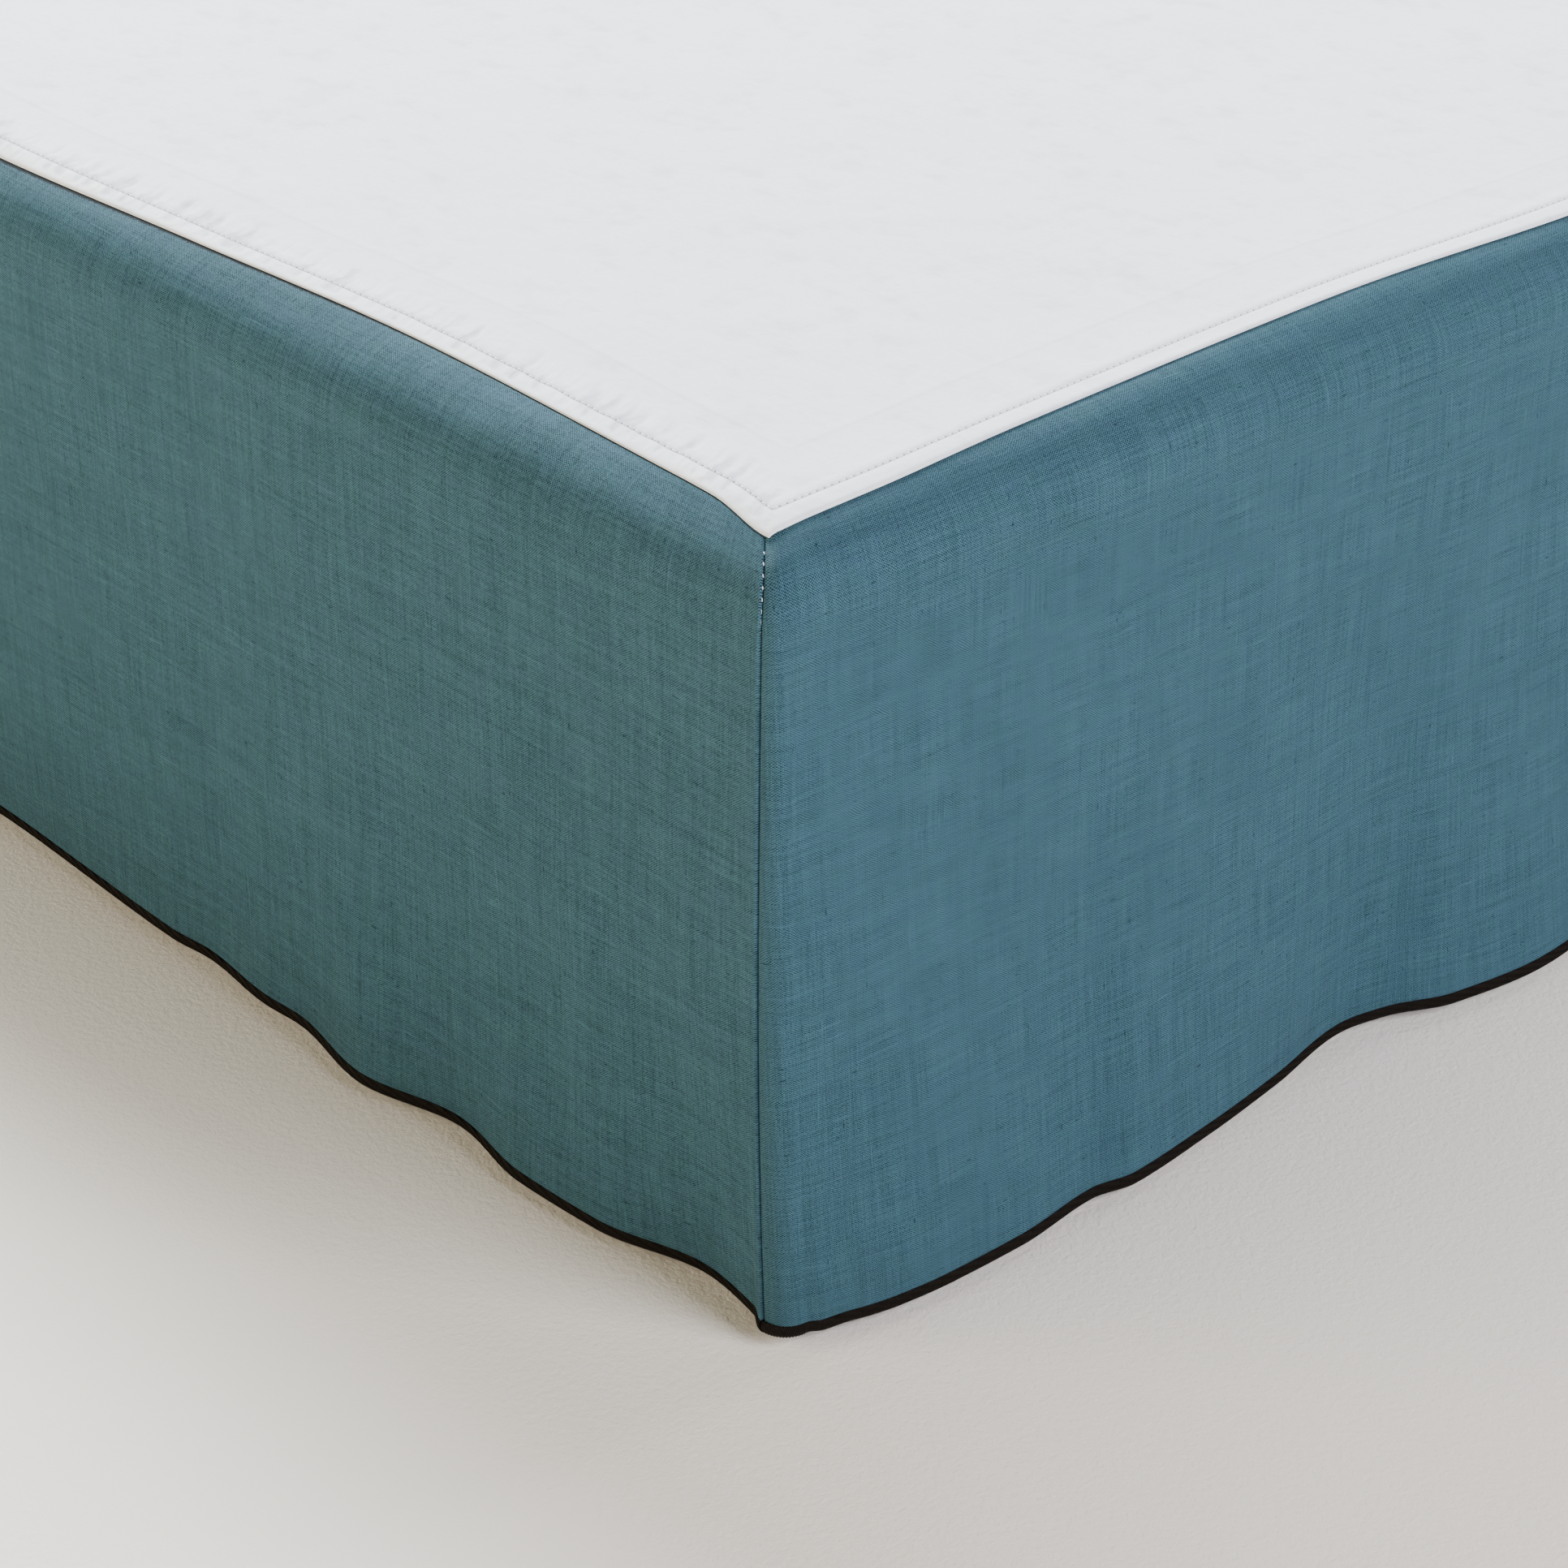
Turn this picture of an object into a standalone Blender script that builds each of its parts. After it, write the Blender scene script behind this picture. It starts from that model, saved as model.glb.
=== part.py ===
# Fitted cover for a bed's box spring, as it hangs: a white deck on top, four teal side
# panels sewn to its rim and to each other, and a dark stitched edging round the hem.
# The box spring itself is left out, so the cover is hollow and open at the bottom.
#
# Metres, +Z up. The origin is the middle of the deck's flat underside. The foot of the
# bed is at -Y, the head at +Y, and the right side at +X.

import math
from collections import namedtuple

import bpy
from mathutils import Vector

# The box spring that the cover fits
BED_WIDTH = 1.40
BED_LENGTH = 1.90
DROP = 0.300            # deck's underside to the lower edge of the hem
SHOULDER = 0.025        # radius of the padded top edge
CORNER = 0.010          # radius of the upright corners, seen from above

# Cloth and sewing
CLOTH = 0.0012          # thickness of a sheet
GAP = 0.0003            # between neighbouring pieces
ALLOWANCE = 0.012       # seam allowance that lies under the deck's rim
RIM_STEP = 0.004        # where the deck comes down from the allowance to the flat
MITRE_RADIUS = 0.002    # corner radius left at the deck's own corner
MITRE_REACH = 0.080     # how far from a corner the cloth's columns lean to the mitre
EDGING_HEIGHT = 0.0035
EDGING_PROUD = 0.0005   # how far the edging stands proud of the panel on each side

# Spacing of the columns of faces
FINE_SPACING = 0.017
FINE_REACH = 0.430      # the stretch by the front right corner has the smaller folds
COARSE_SPACING = 0.060
SHORT_ARC = 2           # columns from a corner seam to the flat of a side
LONG_ARC = 3

# A row for each crest or trough of the hem. at: distance from the corner where the table
# starts; out: how far the hem stands out from a plumb line; climb: height at which the
# fold has died away. Cloth goes inwards only below the box spring, so those folds are low.
Fold = namedtuple("Fold", "at out climb")

# The foot's table starts at the front right corner
FOOT_HEM = (
    Fold(0.010, -0.0015, 0.10),
    Fold(0.018, -0.0070, 0.10),
    Fold(0.045, -0.0112, 0.10),
    Fold(0.092, 0.0010, 0.12),
    Fold(0.135, 0.0032, 0.12),
    Fold(0.176, -0.0030, 0.08),
    Fold(0.227, 0.0075, 0.17),
    Fold(0.275, 0.0005, 0.12),
    Fold(0.296, 0.0018, 0.10),
    Fold(0.337, -0.0015, 0.08),
    Fold(0.362, 0.0008, 0.10),
    Fold(0.487, -0.0024, 0.09),
    Fold(0.610, 0.0070, 0.20),
    Fold(0.730, -0.0030, 0.09),
    Fold(0.870, 0.0110, 0.22),
    Fold(0.980, 0.0010, 0.15),
    Fold(1.110, 0.0130, 0.24),
    Fold(1.240, -0.0020, 0.09),
    Fold(1.320, 0.0080, 0.18),
    Fold(1.390, 0.0000, 0.10),
)
RIGHT_HEM = (
    Fold(0.010, 0.0000, 0.22),
    Fold(0.040, 0.0105, 0.25),
    Fold(0.070, 0.0148, 0.26),
    Fold(0.105, 0.0160, 0.26),
    Fold(0.144, 0.0127, 0.25),
    Fold(0.163, 0.0166, 0.25),
    Fold(0.205, 0.0134, 0.25),
    Fold(0.250, 0.0076, 0.22),
    Fold(0.296, -0.0002, 0.20),
    Fold(0.318, 0.0040, 0.20),
    Fold(0.345, 0.0156, 0.24),
    Fold(0.392, 0.0222, 0.26),
    Fold(0.520, 0.0040, 0.22),
    Fold(0.650, 0.0150, 0.26),
    Fold(0.780, 0.0020, 0.20),
    Fold(0.930, 0.0180, 0.26),
    Fold(1.080, 0.0030, 0.22),
    Fold(1.230, 0.0140, 0.25),
    Fold(1.390, -0.0030, 0.09),
    Fold(1.560, 0.0170, 0.26),
    Fold(1.700, 0.0040, 0.20),
    Fold(1.800, 0.0110, 0.24),
    Fold(1.890, 0.0000, 0.20),
)
HEAD_HEM = (
    Fold(0.010, 0.0000, 0.20),
    Fold(0.110, 0.0120, 0.25),
    Fold(0.280, -0.0030, 0.09),
    Fold(0.460, 0.0150, 0.26),
    Fold(0.640, 0.0020, 0.20),
    Fold(0.830, 0.0130, 0.24),
    Fold(1.010, -0.0020, 0.09),
    Fold(1.230, 0.0140, 0.25),
    Fold(1.390, 0.0000, 0.20),
)
LEFT_HEM = (
    Fold(0.010, 0.0000, 0.20),
    Fold(0.130, 0.0130, 0.25),
    Fold(0.330, 0.0010, 0.20),
    Fold(0.520, 0.0170, 0.26),
    Fold(0.740, -0.0030, 0.09),
    Fold(0.960, 0.0120, 0.24),
    Fold(1.170, 0.0030, 0.22),
    Fold(1.380, 0.0180, 0.26),
    Fold(1.600, 0.0010, 0.20),
    Fold(1.780, 0.0120, 0.24),
    Fold(1.890, 0.0000, 0.20),
)

# A row for each bow of the seam between deck and panel. inset: distance in from the
# panel's plumb face.
Bow = namedtuple("Bow", "at inset")

FOOT_SEAM = (
    Bow(0.010, 0.0150),
    Bow(0.045, 0.0197),
    Bow(0.085, 0.0212),
    Bow(0.215, 0.0255),
    Bow(0.340, 0.0205),
    Bow(0.480, 0.0160),
    Bow(0.760, 0.0220),
    Bow(1.020, 0.0170),
    Bow(1.230, 0.0230),
    Bow(1.390, 0.0160),
)
RIGHT_SEAM = (
    Bow(0.010, 0.0176),
    Bow(0.035, 0.0181),
    Bow(0.065, 0.0188),
    Bow(0.132, 0.0220),
    Bow(0.290, 0.0254),
    Bow(0.416, 0.0194),
    Bow(0.620, 0.0160),
    Bow(0.930, 0.0230),
    Bow(1.250, 0.0175),
    Bow(1.600, 0.0235),
    Bow(1.890, 0.0160),
)
HEAD_SEAM = (
    Bow(0.010, 0.0160),
    Bow(0.330, 0.0225),
    Bow(0.700, 0.0180),
    Bow(1.060, 0.0230),
    Bow(1.390, 0.0160),
)
LEFT_SEAM = (
    Bow(0.010, 0.0160),
    Bow(0.400, 0.0230),
    Bow(0.900, 0.0175),
    Bow(1.450, 0.0235),
    Bow(1.890, 0.0160),
)

# A row for each side, in order round the bed. start: corner where the side starts;
# along and outward: its directions; measured_from_end: its tables start at its far end.
Side = namedtuple("Side", "name start along outward length measured_from_end hem seam")

HALF_WIDTH = BED_WIDTH / 2
HALF_LENGTH = BED_LENGTH / 2
SIDES = (
    Side("right_panel", (HALF_WIDTH, -HALF_LENGTH), (0, 1), (1, 0), BED_LENGTH, False,
         RIGHT_HEM, RIGHT_SEAM),
    Side("head_panel", (HALF_WIDTH, HALF_LENGTH), (-1, 0), (0, 1), BED_WIDTH, False,
         HEAD_HEM, HEAD_SEAM),
    Side("left_panel", (-HALF_WIDTH, HALF_LENGTH), (0, -1), (-1, 0), BED_LENGTH, False,
         LEFT_HEM, LEFT_SEAM),
    Side("foot_panel", (-HALF_WIDTH, -HALF_LENGTH), (1, 0), (0, -1), BED_WIDTH, True,
         FOOT_HEM, FOOT_SEAM),
)

# A row for each corner seam, at the start of the side of the same number. top and hem:
# how far past the corner the seam lies. The front right one strays onto the foot.
CornerSeam = namedtuple("CornerSeam", "top hem")

CORNER_SEAMS = (
    CornerSeam(-0.0035, -0.0082),
    CornerSeam(-0.0005, 0.0010),
    CornerSeam(0.0005, -0.0010),
    CornerSeam(0.0005, 0.0015),
)

# A row for each level of a panel's faces, from the allowance's end down to the hem.
# zone: allowance, shoulder or skirt; value: distance past the seam, share of the way
# from the shoulder's foot up to the seam, or height above the hem's lower edge.
Level = namedtuple("Level", "zone value")

PANEL_FOOT = EDGING_HEIGHT + GAP
PANEL_LEVELS = (
    Level("allowance", ALLOWANCE),
    Level("allowance", 0.0),
    Level("shoulder", 0.72),
    Level("shoulder", 0.46),
    Level("shoulder", 0.22),
    Level("shoulder", 0.0),
    Level("skirt", 0.205),
    Level("skirt", 0.140),
    Level("skirt", 0.085),
    Level("skirt", 0.040),
    Level("skirt", PANEL_FOOT),
)

# A place along a side. zone: flat, or the start's or end's corner; value: distance along
# the side, or share of the way from the corner's seam to the flat
Station = namedtuple("Station", "zone value")

# The box spring's side of the cloth at one place. tilt: 0 on the top, a quarter turn
# where it hangs; radius: of the corner, seen from above
Section = namedtuple("Section", "inset height tilt radius")


def clear_scene():
    for item in list(bpy.data.objects):
        bpy.data.objects.remove(item, do_unlink=True)


def cloth_material(name, colour, roughness):
    material = bpy.data.materials.new(name)
    material.use_nodes = True
    shader = material.node_tree.nodes["Principled BSDF"]
    shader.inputs["Base Color"].default_value = (*colour, 1.0)
    shader.inputs["Roughness"].default_value = roughness
    shader.inputs["Metallic"].default_value = 0.0
    return material


def smooth_value(rows, column, at):
    """Read one column of a table at a distance, on a curve that never overshoots a row."""
    places = [row.at for row in rows]
    values = [getattr(row, column) for row in rows]
    if at <= places[0]:
        return values[0]
    if at >= places[-1]:
        return values[-1]
    steps = [(values[k + 1] - values[k]) / (places[k + 1] - places[k])
             for k in range(len(rows) - 1)]

    def slope(k):
        if k == 0 or k == len(rows) - 1 or steps[k - 1] * steps[k] <= 0:
            return 0.0
        return 2 * steps[k - 1] * steps[k] / (steps[k - 1] + steps[k])

    k = max(index for index, place in enumerate(places[:-1]) if place <= at)
    span = places[k + 1] - places[k]
    t = (at - places[k]) / span
    start = values[k] * (1 + 2 * t) * (1 - t) ** 2 + slope(k) * span * t * (1 - t) ** 2
    end = values[k + 1] * t * t * (3 - 2 * t) - slope(k + 1) * span * t * t * (1 - t)
    return start + end


def table_place(side, along):
    return side.length - along if side.measured_from_end else along


def seam_path(side, along):
    """Distance from the shoulder's foot up over its curve to the deck's seam."""
    inset = smooth_value(side.seam, "inset", table_place(side, along))
    if inset >= SHOULDER:
        return SHOULDER * math.pi / 2 + inset - SHOULDER
    return SHOULDER * (math.pi / 2 - math.asin(1 - inset / SHOULDER))


def on_shoulder(path):
    """Inset, height and tilt at a distance up the shoulder; the tilt is 0 on the top."""
    quarter = SHOULDER * math.pi / 2
    if path >= quarter:
        return SHOULDER + path - quarter, 0.0, 0.0
    tilt = math.pi / 2 - path / SHOULDER
    inset = SHOULDER * (1 - math.sin(tilt))
    height = -SHOULDER * (1 - math.cos(tilt))
    return inset, height, tilt


def hem_push(side, along, height):
    """How far a fold pushes the skirt outwards at a height above the hem."""
    place = table_place(side, along)
    out = smooth_value(side.hem, "out", place)
    climb = smooth_value(side.hem, "climb", place)
    return out * max(0.0, 1 - height / climb) ** 2


def section(side, along, level):
    """Where the cloth runs at a distance along a side, at a level."""
    if level.zone == "skirt":
        push = hem_push(side, along, level.value)
        return Section(-push, level.value - DROP, math.pi / 2, CORNER)
    seam = seam_path(side, along)
    if level.zone == "allowance":
        return Section(*on_shoulder(seam + level.value), MITRE_RADIUS)
    radius = CORNER + (MITRE_RADIUS - CORNER) * level.value
    return Section(*on_shoulder(seam * level.value), radius)


def seam_share(corner, level):
    """Where a corner's seam lies on its arc: 0 at the side before it, 1 at the one after."""
    fall = 0.0
    if level.zone == "skirt":
        fall = 1 - level.value / DROP
    seam = CORNER_SEAMS[corner % len(SIDES)]
    drift = seam.top + (seam.hem - seam.top) * fall
    return 0.5 + drift / (2 * CORNER)


def on_corner(corner, share, level):
    """A corner's arc at a level: its place from above, facing, height and tilt."""
    before = SIDES[(corner - 1) % len(SIDES)]
    after = SIDES[corner % len(SIDES)]
    last = section(before, before.length - CORNER, level)
    first = section(after, CORNER, level)
    turn = math.pi / 2 * share
    facing = Vector(before.outward) * math.cos(turn) + Vector(after.outward) * math.sin(turn)
    centre = (Vector(after.start) - Vector(before.outward) * (last.inset + last.radius)
              - Vector(after.outward) * (first.inset + first.radius))
    height = last.height + (first.height - last.height) * share
    tilt = last.tilt + (first.tilt - last.tilt) * share
    return centre + facing * first.radius, facing, height, tilt


def on_flat(number, along, level):
    """The same on the flat of a side, where columns near a corner lean to the mitre."""
    side = SIDES[number]
    before = SIDES[number - 1]
    after = SIDES[(number + 1) % len(SIDES)]
    here = section(side, along, level)
    reach_before = section(before, before.length - CORNER, level).inset + here.radius
    reach_after = section(after, CORNER, level).inset + here.radius
    lean_start = max(0.0, 1 - (along - CORNER) / MITRE_REACH)
    lean_end = max(0.0, 1 - (side.length - CORNER - along) / MITRE_REACH)
    shift = (reach_before - CORNER) * lean_start - (reach_after - CORNER) * lean_end
    place = (Vector(side.start) + Vector(side.along) * (along + shift)
             - Vector(side.outward) * here.inset)
    return place, Vector(side.outward), here.height, here.tilt


def cover_point(number, station, level, lift, parting=0.0):
    """Point a distance, lift, above the box spring, and parting back from a corner seam."""
    if station.zone == "flat":
        place, facing, height, tilt = on_flat(number, station.value, level)
    elif station.zone == "start":
        seam = seam_share(number, level)
        share = seam + (1 - seam) * station.value
        place, facing, height, tilt = on_corner(number, share, level)
    else:
        share = seam_share(number + 1, level) * (1 - station.value)
        place, facing, height, tilt = on_corner(number + 1, share, level)
    tangent = Vector((-facing.y, facing.x))
    if station.value == 0.0:
        place += tangent * (parting if station.zone == "start" else -parting)
    place += facing * lift * math.sin(tilt)
    return Vector((place.x, place.y, height + lift * math.cos(tilt)))


def flat_stations(side):
    """Columns on the flat of a side, closer together by the front right corner."""
    places = [CORNER]
    while True:
        fine = side.name in ("right_panel", "foot_panel") and places[-1] < FINE_REACH
        places.append(places[-1] + (FINE_SPACING if fine else COARSE_SPACING))
        if places[-1] > side.length - CORNER - COARSE_SPACING / 2:
            break
    places[-1] = side.length - CORNER
    if side.measured_from_end:
        places = [side.length - place for place in reversed(places)]
    return [Station("flat", place) for place in places]


def side_stations(number):
    """Columns from one corner seam to the next."""
    start_arc = LONG_ARC if number == 0 else SHORT_ARC
    end_arc = 1 if number == len(SIDES) - 1 else SHORT_ARC
    start = [Station("start", step / start_arc) for step in range(start_arc)]
    end = [Station("end", step / end_arc) for step in reversed(range(end_arc))]
    return start + flat_stations(SIDES[number]) + end


def rim_stations():
    """Side number and station of each column round the whole cover, each seam once."""
    round_the_bed = []
    for number in range(len(SIDES)):
        for station in side_stations(number)[:-1]:
            round_the_bed.append((number, station))
    return round_the_bed


def solid_object(name, points, faces, material):
    mesh = bpy.data.meshes.new(name)
    mesh.from_pydata(points, [], faces)
    mesh.validate()
    mesh.materials.append(material)
    mesh.shade_smooth()
    mesh.set_sharp_from_angle(angle=math.radians(35))
    item = bpy.data.objects.new(name, mesh)
    bpy.context.collection.objects.link(item)
    return item


def make_panel(number, material):
    """A side panel: allowance, shoulder and skirt in one sheet of even thickness."""
    stations = side_stations(number)
    columns = len(stations)
    rows = len(PANEL_LEVELS)
    points = []
    for lift in (CLOTH, 0.0):
        for level in PANEL_LEVELS:
            points += [cover_point(number, station, level, lift, GAP / 2)
                       for station in stations]

    def index(layer, row, column):
        return (layer * rows + row) * columns + column

    faces = []
    for row in range(rows - 1):
        for column in range(columns - 1):
            quad = [(row, column), (row + 1, column), (row + 1, column + 1), (row, column + 1)]
            # The inner quad starts at the same corner, so that both sides of the sheet
            # fold along the same diagonal
            inner_quad = [quad[0], quad[3], quad[2], quad[1]]
            faces.append([index(0, *corner) for corner in quad])
            faces.append([index(1, *corner) for corner in inner_quad])
    border = [(row, 0) for row in range(rows)]
    border += [(rows - 1, column) for column in range(1, columns)]
    border += [(row, columns - 1) for row in reversed(range(rows - 1))]
    border += [(0, column) for column in reversed(range(1, columns - 1))]
    for here, there in zip(border, border[1:] + border[:1]):
        faces.append([index(0, *there), index(0, *here), index(1, *here), index(1, *there)])
    solid_object(SIDES[number].name, points, faces, material)


def make_rings(name, rings, caps, material):
    """A solid from closed rings of the same count, each joined to the next."""
    count = len(rings[0])
    points = [point for ring in rings for point in ring]
    faces = []
    pairs = list(zip(range(len(rings)), range(1, len(rings))))
    if not caps:
        pairs.append((len(rings) - 1, 0))
    for upper, lower in pairs:
        for column in range(count):
            after = (column + 1) % count
            quad = [upper * count + column, lower * count + column,
                    lower * count + after, upper * count + after]
            # The quads of the under side start one corner on, so that both sides of the
            # sheet fold along the same diagonal
            on_top = upper < len(rings) // 2
            faces.append(quad if on_top else quad[1:] + quad[:1])
    if caps:
        last = (len(rings) - 1) * count
        faces.append(list(range(count)))
        faces.append([last + column for column in reversed(range(count))])
    solid_object(name, points, faces, material)


def make_deck(material):
    """The deck: flat on the box spring, its rim raised over the panels' allowances."""
    over = CLOTH + GAP
    steps = (
        (ALLOWANCE + RIM_STEP, 0.0),
        (ALLOWANCE + GAP, over),
        (0.0, over),
    )
    rings = []
    for past_seam, lift in steps:
        level = Level("allowance", past_seam)
        rings.append([cover_point(number, station, level, lift + CLOTH)
                      for number, station in rim_stations()])
    for past_seam, lift in reversed(steps):
        level = Level("allowance", past_seam)
        rings.append([cover_point(number, station, level, lift)
                      for number, station in rim_stations()])
    make_rings("deck", rings, True, material)


def make_hem_edging(material):
    """The edging: one closed run, just under the panels' lower edges."""
    corners = (
        (EDGING_HEIGHT, CLOTH + EDGING_PROUD),
        (0.0, CLOTH + EDGING_PROUD),
        (0.0, -EDGING_PROUD),
        (EDGING_HEIGHT, -EDGING_PROUD),
    )
    rings = []
    for height, lift in corners:
        level = Level("skirt", height)
        rings.append([cover_point(number, station, level, lift)
                      for number, station in rim_stations()])
    make_rings("hem_edging", rings, False, material)


def main():
    clear_scene()
    white = cloth_material("white cotton", (0.80, 0.79, 0.77), 0.90)
    teal = cloth_material("teal linen", (0.085, 0.180, 0.225), 0.85)
    dark = cloth_material("dark edging thread", (0.012, 0.009, 0.007), 0.75)
    make_deck(white)
    for number in range(len(SIDES)):
        make_panel(number, teal)
    make_hem_edging(dark)


main()
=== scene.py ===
import math

import bpy
import numpy as np
from mathutils import Matrix, Vector


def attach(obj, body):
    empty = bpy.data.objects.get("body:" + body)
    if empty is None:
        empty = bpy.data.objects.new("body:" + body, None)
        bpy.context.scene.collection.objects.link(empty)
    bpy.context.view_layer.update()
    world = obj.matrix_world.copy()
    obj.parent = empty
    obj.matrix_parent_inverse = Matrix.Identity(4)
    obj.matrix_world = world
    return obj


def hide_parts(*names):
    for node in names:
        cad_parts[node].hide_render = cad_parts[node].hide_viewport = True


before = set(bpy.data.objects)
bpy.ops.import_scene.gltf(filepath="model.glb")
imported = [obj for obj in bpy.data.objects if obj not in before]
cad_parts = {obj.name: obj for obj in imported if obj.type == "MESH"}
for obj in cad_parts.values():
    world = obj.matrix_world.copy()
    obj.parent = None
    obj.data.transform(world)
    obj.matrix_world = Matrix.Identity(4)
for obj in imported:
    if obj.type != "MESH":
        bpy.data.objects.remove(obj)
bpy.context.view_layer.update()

# Box spring cover: white deck, four teal linen panels, dark stitched hem.
# Metres. The foot is at -Y, the right side at +X. The photographed corner is the front right one.
print("frame loaded")


cover = {
    "width": 1.40,
    "length": 1.90,
    "drop": 0.300,          # deck's underside to the lower edge of the hem
    "shoulder": 0.025,      # padded top edge
    "corner": 0.010,        # upright corners at the hem, seen from above
    "upperCorner": 0.005,   # and under the shoulder
    "mitreRadius": 0.002,   # what is left of the corner at the deck's seam
    "mitreReach": 0.080,    # how far the panels' threads lean to the mitre
    "allowance": 0.012,     # seam allowance under the deck's rim
    "face": 0.0012,         # outer face of a panel, out from its plain folded shape
    "sheet": 0.0008,        # thickness of the cloth
    "closeUp": 0.50,        # stretch with the finest faces, from the front right corner
}

# Hems have a column for the place of each crest or trough, how far it stands out, and the
# height at which it has died away. Seams have how far in from the plumb face they lie.
footSide = {
    "name": "foot", "start": (-0.70, -0.95), "along": (1, 0), "outward": (0, -1),
    "length": 1.40, "fromEnd": True,
    "hem": {
        "at": (0.010, 0.018, 0.045, 0.092, 0.135, 0.176, 0.227, 0.275, 0.296, 0.337,
               0.362, 0.487, 0.610, 0.730, 0.870, 0.980, 1.110, 1.240, 1.320, 1.390),
        "out": (-0.0032, -0.0075, -0.0112, 0.0010, 0.0032, -0.0030, 0.0075, 0.0005, 0.0018,
                -0.0015, 0.0008, -0.0024, 0.0070, -0.0030, 0.0110, 0.0010, 0.0130, -0.0020,
                0.0080, 0.0000),
        "climb": (0.17, 0.17, 0.17, 0.14, 0.12, 0.08, 0.17, 0.12, 0.10, 0.08,
                  0.10, 0.09, 0.20, 0.09, 0.22, 0.15, 0.24, 0.09, 0.18, 0.10),
    },
    "seam": {
        "at": (0.010, 0.045, 0.085, 0.215, 0.340, 0.480, 0.760, 1.020, 1.230, 1.390),
        "inset": (0.0150, 0.0197, 0.0212, 0.0255, 0.0205, 0.0160, 0.0220, 0.0170, 0.0230,
                  0.0160),
    },
}
rightSide = {
    "name": "right", "start": (0.70, -0.95), "along": (0, 1), "outward": (1, 0),
    "length": 1.90, "fromEnd": False,
    "hem": {
        "at": (0.010, 0.015, 0.024, 0.034, 0.046, 0.070, 0.105, 0.144, 0.163, 0.205, 0.250, 0.296,
               0.318, 0.345, 0.392, 0.520, 0.650, 0.780, 0.930, 1.080, 1.230, 1.390, 1.560, 1.700,
               1.800, 1.890),
        "out": (0.0022, 0.0048, 0.0068, 0.0098, 0.0124, 0.0150, 0.0160, 0.0127, 0.0166, 0.0134,
                0.0076, -0.0002, 0.0040, 0.0156, 0.0222, 0.0040, 0.0150, 0.0020, 0.0180, 0.0030,
                0.0140, -0.0030, 0.0170, 0.0040, 0.0110, 0.0000),
        "climb": (0.22, 0.22, 0.22, 0.23, 0.25, 0.26, 0.26, 0.25, 0.25, 0.25, 0.22, 0.20, 0.20,
                  0.24, 0.26, 0.22, 0.26, 0.20, 0.26, 0.22, 0.25, 0.09, 0.26, 0.20, 0.24, 0.20),
    },
    "seam": {
        "at": (0.010, 0.035, 0.065, 0.132, 0.290, 0.416, 0.620, 0.930, 1.250, 1.600, 1.890),
        "inset": (0.0176, 0.0181, 0.0188, 0.0220, 0.0254, 0.0194, 0.0160, 0.0230, 0.0175,
                  0.0235, 0.0160),
    },
}
headSide = {
    "name": "head", "start": (0.70, 0.95), "along": (-1, 0), "outward": (0, 1),
    "length": 1.40, "fromEnd": False,
    "hem": {
        "at": (0.010, 0.110, 0.280, 0.460, 0.640, 0.830, 1.010, 1.230, 1.390),
        "out": (0.0000, 0.0120, -0.0030, 0.0150, 0.0020, 0.0130, -0.0020, 0.0140, 0.0000),
        "climb": (0.20, 0.25, 0.09, 0.26, 0.20, 0.24, 0.09, 0.25, 0.20),
    },
    "seam": {
        "at": (0.010, 0.330, 0.700, 1.060, 1.390),
        "inset": (0.0160, 0.0225, 0.0180, 0.0230, 0.0160),
    },
}
leftSide = {
    "name": "left", "start": (-0.70, 0.95), "along": (0, -1), "outward": (-1, 0),
    "length": 1.90, "fromEnd": False,
    "hem": {
        "at": (0.010, 0.130, 0.330, 0.520, 0.740, 0.960, 1.170, 1.380, 1.600, 1.780, 1.890),
        "out": (0.0000, 0.0130, 0.0010, 0.0170, -0.0030, 0.0120, 0.0030, 0.0180, 0.0010,
                0.0120, 0.0000),
        "climb": (0.20, 0.25, 0.20, 0.26, 0.09, 0.24, 0.22, 0.26, 0.20, 0.24, 0.20),
    },
    "seam": {
        "at": (0.010, 0.400, 0.900, 1.450, 1.890),
        "inset": (0.0160, 0.0230, 0.0175, 0.0235, 0.0160),
    },
}
sides = (rightSide, headSide, leftSide, footSide)

# How far past the corner each corner's seam lies, at the start of the side of the same number
cornerSeams = {
    "top": (-0.0043, -0.0005, 0.0005, 0.0005),
    "hem": (-0.0095, 0.0010, -0.0010, 0.0015),
}


def readTable(table, column, at):
    places = np.array(table["at"])
    values = np.array(table[column])
    steps = np.diff(values) / np.diff(places)
    both = steps[:-1] + steps[1:]
    turning = steps[:-1] * steps[1:] <= 0
    slopes = np.zeros(len(places))
    slopes[1:-1] = np.where(turning, 0.0, 2 * steps[:-1] * steps[1:] / np.where(turning, 1.0, both))
    at = np.clip(at, places[0], places[-1])
    k = np.clip(np.searchsorted(places, at, side="right") - 1, 0, len(places) - 2)
    span = places[k + 1] - places[k]
    t = (at - places[k]) / span
    start = values[k] * (1 + 2 * t) * (1 - t) ** 2 + slopes[k] * span * t * (1 - t) ** 2
    end = values[k + 1] * t * t * (3 - 2 * t) - slopes[k + 1] * span * t * t * (1 - t)
    return start + end


def smoothStep(low, high, value):
    t = np.clip((value - low) / (high - low), 0.0, 1.0)
    return t * t * (3 - 2 * t)


def bell(distance, width):
    return np.exp(-(distance / width) ** 2)


def fromTableStart(side, along):
    return side["length"] - along if side["fromEnd"] else along


def seamPath(side, along):
    radius = cover["shoulder"]
    inset = readTable(side["seam"], "inset", fromTableStart(side, along))
    onCurve = radius * (math.pi / 2 - np.arcsin(np.clip(1 - inset / radius, 0, 1)))
    return np.where(inset >= radius, radius * math.pi / 2 + inset - radius, onCurve)


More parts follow.
